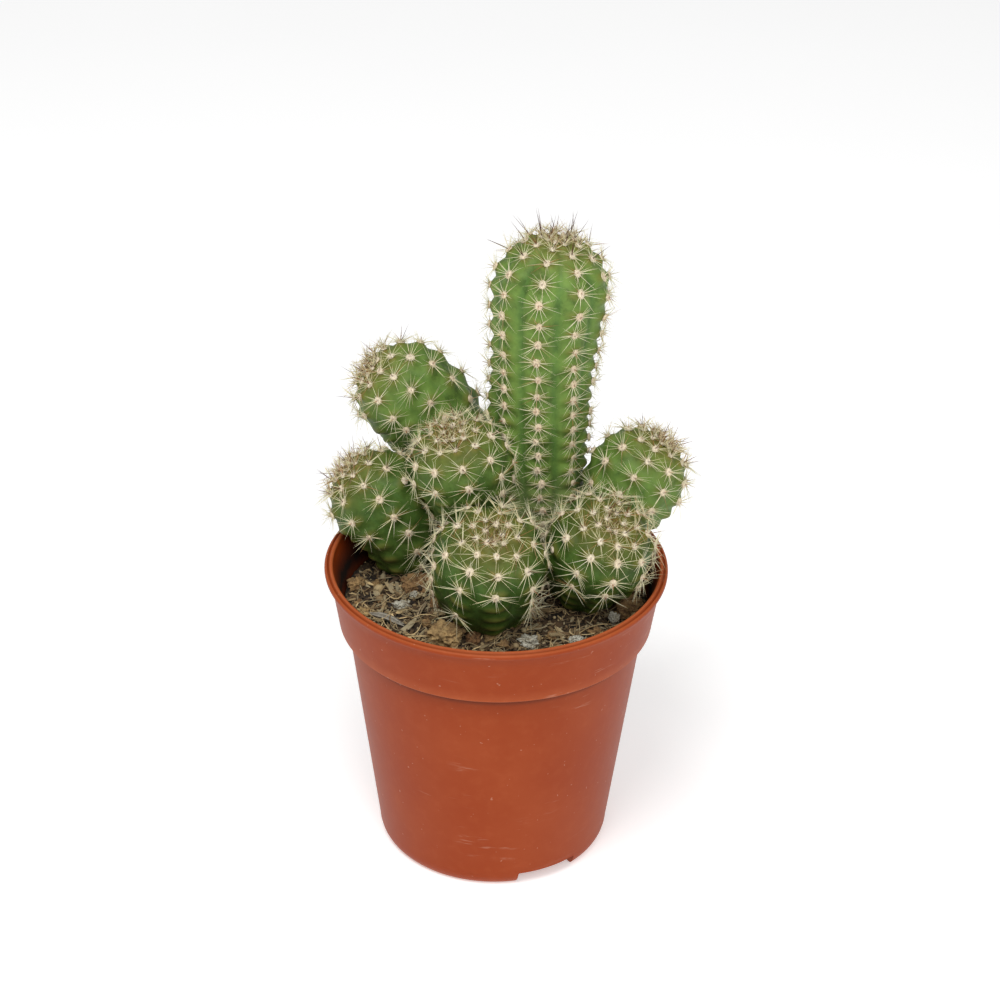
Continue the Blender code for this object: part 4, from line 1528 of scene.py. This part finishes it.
class CACTUS_OT_make_spines(bpy.types.Operator):
    """Sets the side spines, middle spines and felt hairs on every cushion"""

    bl_idname = "cactus.make_spines"
    bl_label = "Spines"

    def needle(self, steps):
        """A three-sided needle, one unit long and one in radius at its foot."""
        clear_selection()
        bpy.ops.mesh.primitive_circle_add(vertices=3, radius=1.0, fill_type="NGON")
        obj = bpy.context.object
        edit_all(obj)
        widths = [1.0 - (step / steps) ** 1.5 for step in range(steps + 1)]
        lift = {"value": (0.0, 0.0, 1.0 / steps)}
        for step in range(1, steps):
            bpy.ops.mesh.extrude_region_move(TRANSFORM_OT_translate=lift)
            share = widths[step] / widths[step - 1]
            bpy.ops.transform.resize(value=(share, share, 1.0))
        bpy.ops.mesh.extrude_region_move(TRANSFORM_OT_translate=lift)
        bpy.ops.mesh.merge(type="CENTER")
        bpy.ops.mesh.select_all(action="SELECT")
        bpy.ops.mesh.remove_doubles(threshold=1e-5)
        bpy.ops.mesh.normals_make_consistent(inside=False)
        in_object_mode()
        return template(obj)

    def grow(self, name, shape, spines, finish):
        """spines holds arrays: foot, way, bend direction, length, radius, bend and tint."""
        points, faces = shape
        foot, way, bow, length, radius, bend, tint = spines
        across = unit(np.cross(way, bow))
        bow = np.cross(across, way)
        along = points[:, 2]
        forward = along[None, :] * length[:, None]
        up = points[None, :, 0] * radius[:, None] + (along**2)[None, :] * (bend * length)[:, None]
        sideways = points[None, :, 1] * radius[:, None]
        placed = (
            foot[:, None, :]
            + way[:, None, :] * forward[:, :, None]
            + bow[:, None, :] * up[:, :, None]
            + across[:, None, :] * sideways[:, :, None]
        )
        obj = copies(name, placed, faces)
        set_values(obj.data, "tint", np.repeat(tint, len(points)))
        set_values(obj.data, "along", np.tile(along, len(foot)))
        return finish_piece(obj, finish, "cactus_skin")

    def spread(self, cushions, fan, rise):
        """Directions round each cushion: first along the skin, then raised from it."""
        outward, tipward, side = (value[:, None, :] for value in cushions[1:4])
        flat = tipward * np.cos(fan)[:, :, None] + side * np.sin(fan)[:, :, None]
        return flat, unit(flat * np.cos(rise)[:, :, None] + outward * np.sin(rise)[:, :, None])

    def side_spines(self, rng, settings, cushions, form):
        """Straw-coloured spines that fan out from each cushion, fewer where the space is narrow."""
        here, outward, _, _, way, openness = cushions
        count = settings.radials
        share = way / form.length
        near, mid, low = (1.32 * value * MM for value in form.row.reach)
        reach = np.interp(share, (0.0, 0.35, 0.6, 1.0), (near, near, mid, low))
        reach = reach * np.interp(way, (0.0, 5.0 * MM), (0.7, 1.0))
        fan = math.tau * (np.arange(count) + 0.5) / count
        fan = fan[None, :] + rng.normal(0.0, 0.17, (len(here), count))
        fan = fan - 0.14 * np.sin(fan) + 0.22 * np.sin(2.0 * fan)
        young = np.interp(way, (0.0, 7.0 * MM), (1.0, 0.0))
        rise = rng.normal(0.38, 0.15, fan.shape) + 0.75 * young[:, None] * (0.6 + 0.4 * np.cos(fan))
        length = reach[:, None] * (0.74 + 0.26 * np.abs(np.sin(fan)) - 0.14 * np.cos(fan))
        length = length * rng.normal(1.0, 0.17, fan.shape)
        flat, direction = self.spread(cushions, fan, rise)
        foot = here[:, None, :] + flat * (0.55 * settings.cushion)
        foot = foot + outward[:, None, :] * (0.10 * MM)
        bow = np.repeat(outward[:, None, :], count, axis=1)
        bend = rng.normal(-0.04, 0.07, fan.shape)
        radius = settings.thickness * rng.uniform(0.75, 1.1, fan.shape)
        tint = rng.normal(0.22, 0.07, fan.shape) + 0.16 * young[:, None]
        rusty = rng.uniform(size=fan.shape) < 0.05 + 0.28 * young[:, None]
        tint = tint + 0.36 * rusty
        kept = rng.uniform(size=fan.shape) > 0.25 * young[:, None]
        kept &= rng.uniform(size=fan.shape) < 0.15 + 0.85 * openness[:, None] ** 2
        return [value[kept] for value in (foot, direction, bow, length, radius, bend, tint)]

    def middle_spines(self, rng, settings, cushions, form):
        """Short brown stubs on the old cushions, and long dark needles round the tip."""
        spines = []
        main = form.row.name == "main_stem"
        share_long, long_reach = (0.70, (3.0, 4.4)) if main else (0.45, (2.4, 3.6))
        for here, outward, tipward, side, way, _ in zip(*cushions):
            young = float(np.interp(way, (1.5 * MM, 9.0 * MM), (1.0, 0.0)))
            number = 1 + int(rng.uniform() < 0.45)
            for _ in range(number):
                lean = rng.normal(0.0, 0.30, 2)
                if young > 0.15 and rng.uniform() < share_long:
                    reach = rng.uniform(*long_reach) * (0.75 + 0.25 * min(1.0, way / (2.5 * MM)))
                    tint = rng.uniform(0.78, 0.97)
                    girth = rng.uniform(1.2, 1.5)
                else:
                    reach = rng.uniform(0.7, 1.5)
                    tint = rng.uniform(0.52, 0.80)
                    girth = rng.uniform(0.95, 1.2)
                foot = here + outward * 0.15 * MM + side * lean[1] * 0.3 * MM
                direction = unit(outward + tipward * lean[0] + side * lean[1])
                bend = rng.normal(0.0, 0.05)
                radius = settings.thickness * girth
                spines.append((foot, direction, tipward, reach * MM, radius, bend, tint))
        return [np.array(values) for values in zip(*spines)]

    def crown_tuft(self, rng, settings, form):
        """The dense young tuft of rust and cream spines right at the tip."""
        count = settings.tuft
        longitude = rng.uniform(-math.pi, math.pi, count)
        way = np.abs(rng.normal(0.0, 1.4, count)) * MM + 0.1 * MM
        here = form.skin(longitude, way)
        upward = form.frame(np.array([1.0]))[0][0]
        centre = form.axis(np.array([1.0]))[0]
        outward = unit(here - centre)
        direction = unit(outward + upward * 0.55 + rng.normal(0.0, 0.35, (count, 3)))
        length = rng.uniform(0.7, 1.7, count) * MM
        radius = settings.thickness * rng.uniform(0.7, 1.1, count)
        tint = rng.choice([0.28, 0.52, 0.60, 0.66, 0.76, 0.88], count)
        tint = np.clip(tint + rng.normal(0.0, 0.05, count), 0.0, 1.0)
        bow = unit(rng.normal(0.0, 1.0, (count, 3)))
        bend = rng.normal(0.0, 0.12, count)
        return [here - outward * 0.1 * MM, direction, bow, length, radius, bend, tint]

    def felt_hairs(self, rng, settings, cushions):
        """Short pale hairs that make a cushion look woolly."""
        here, outward, _, _, _, openness = cushions
        count = settings.hairs
        shape = (len(here), count)
        fan = rng.uniform(0.0, math.tau, shape)
        rise = rng.uniform(0.15, 1.1, shape)
        flat, direction = self.spread(cushions, fan, rise)
        foot = here[:, None, :] + flat * (0.6 * settings.cushion) * np.cos(rise)[:, :, None]
        foot = foot + outward[:, None, :] * (0.12 * MM)
        length = rng.uniform(0.35, 0.95, shape) * MM
        radius = settings.hair_thickness * rng.uniform(0.8, 1.2, shape)
        bow = np.repeat(outward[:, None, :], count, axis=1)
        bend = rng.normal(0.0, 0.2, shape)
        tint = rng.uniform(0.0, 0.16, shape)
        kept = rng.uniform(size=shape) < openness[:, None] ** 2
        return [value[kept] for value in (foot, direction, bow, length, radius, bend, tint)]

    def execute(self, context):
        cactus = context.scene.cactus
        settings = cactus.spines
        long_needle, short_needle = self.needle(4), self.needle(2)
        finish = spine_finish(settings)
        forms = [StemForm(row, cactus.stems) for row in STEMS]
        for form in forms:
            row = form.row
            rng = np.random.default_rng(row.seed + 200)
            cushions = open_cushions(form, forms, cactus)
            spines = self.side_spines(rng, settings, cushions, form)
            middle = self.middle_spines(rng, settings, cushions, form)
            tuft = self.crown_tuft(rng, settings, form)
            joined = [np.concatenate(values) for values in zip(spines, middle, tuft)]
            foot, direction, _, length = joined[:4]
            free = np.ones(len(foot), bool)
            for share in (0.5, 1.0):
                reached = foot + direction * (share * length)[:, None]
                free &= in_the_clear(reached, form, forms, cactus)
            joined = [value[free] for value in joined]
            self.grow(row.name + "_spines", long_needle, joined, finish)
            hairs = self.felt_hairs(rng, settings, cushions)
            reached = hairs[0] + hairs[1] * hairs[3][:, None]
            free = in_the_clear(reached, form, forms, cactus)
            hairs = [value[free] for value in hairs]
            self.grow(row.name + "_hairs", short_needle, hairs, finish)
        return {"FINISHED"}


class CACTUS_OT_make_stage(bpy.types.Operator):
    """Sets the pale floor, the soft studio light and the camera"""

    bl_idname = "cactus.make_stage"
    bl_label = "Floor, light and camera"

    def floor(self, stage):
        clear_selection()
        bpy.ops.mesh.primitive_plane_add(size=6.0)
        floor = bpy.context.object
        floor.name = floor.data.name = "studio_floor"
        floor.data.materials.append(floor_finish(stage))

    def lamp(self, name, place, size, power):
        data = bpy.data.lights.new(name, "AREA")
        data.shape = "DISK"
        data.size = size
        data.energy = power
        lamp = bpy.data.objects.new(name, data)
        bpy.context.scene.collection.objects.link(lamp)
        lamp.location = place
        aim = Vector(LIGHTS_AIM) - Vector(place)
        lamp.rotation_euler = aim.to_track_quat("-Z", "Y").to_euler()

    def sky(self, stage):
        world = bpy.data.worlds.new("studio_sky")
        bpy.context.scene.world = world
        world.use_nodes = True
        background = world.node_tree.nodes["Background"]
        background.inputs["Color"].default_value = (1.0, 1.0, 1.0, 1.0)
        background.inputs["Strength"].default_value = stage.sky_strength

    def camera(self, stage):
        data = bpy.data.cameras.new("studio_camera")
        data.sensor_width = 36.0
        data.lens = stage.lens
        data.clip_start = 0.01
        data.clip_end = 20.0
        camera = bpy.data.objects.new("studio_camera", data)
        bpy.context.scene.collection.objects.link(camera)
        place = Matrix.Translation((0.0, -stage.camera_back, stage.camera_height))
        pan = Matrix.Rotation(-stage.pan, 4, "Z")
        tilt = Matrix.Rotation(math.pi / 2.0 - stage.tilt, 4, "X")
        camera.matrix_world = place @ pan @ tilt @ Matrix.Rotation(stage.roll, 4, "Z")
        bpy.context.scene.camera = camera

    def execute(self, context):
        stage = context.scene.cactus.stage
        self.floor(stage)
        self.sky(stage)
        for name, place, size, power in LIGHTS:
            self.lamp(name, place, size, power)
        self.camera(stage)
        context.scene.view_settings.view_transform = "Standard"
        return {"FINISHED"}


class CACTUS_PT_panel(bpy.types.Panel):
    """Lists what the add-on builds"""

    bl_idname = "CACTUS_PT_panel"
    bl_label = "Potted peanut cactus"
    bl_space_type = "VIEW_3D"
    bl_region_type = "UI"
    bl_category = "Cactus"

    def draw(self, context):
        for operator in OPERATORS:
            self.layout.operator(operator.bl_idname)


OPERATORS = (
    CACTUS_OT_make_pot,
    CACTUS_OT_make_soil,
    CACTUS_OT_make_litter,
    CACTUS_OT_make_bark,
    CACTUS_OT_make_lumps,
    CACTUS_OT_make_perlite,
    CACTUS_OT_make_wood,
    CACTUS_OT_make_stems,
    CACTUS_OT_make_cushions,
    CACTUS_OT_make_spines,
    CACTUS_OT_make_stage,
)
GROUPS = (PotSettings, SoilSettings, StemSettings, SpineSettings, StageSettings, CactusSettings)


def register():
    for group in GROUPS:
        bpy.utils.register_class(group)
    for operator in OPERATORS:
        bpy.utils.register_class(operator)
    bpy.utils.register_class(CACTUS_PT_panel)
    bpy.types.Scene.cactus = PointerProperty(type=CactusSettings)


def unregister():
    del bpy.types.Scene.cactus
    bpy.utils.unregister_class(CACTUS_PT_panel)
    for kept in reversed(GROUPS + OPERATORS):
        bpy.utils.unregister_class(kept)


def main():
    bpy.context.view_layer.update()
    register()
    bpy.ops.cactus.make_pot()
    bpy.ops.cactus.make_soil()
    bpy.ops.cactus.make_litter()
    bpy.ops.cactus.make_bark()
    bpy.ops.cactus.make_lumps()
    bpy.ops.cactus.make_perlite()
    bpy.ops.cactus.make_wood()
    bpy.ops.cactus.make_stems()
    bpy.ops.cactus.make_cushions()
    bpy.ops.cactus.make_spines()
    bpy.ops.cactus.make_stage()
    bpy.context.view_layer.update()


if __name__ == "__main__":
    main()
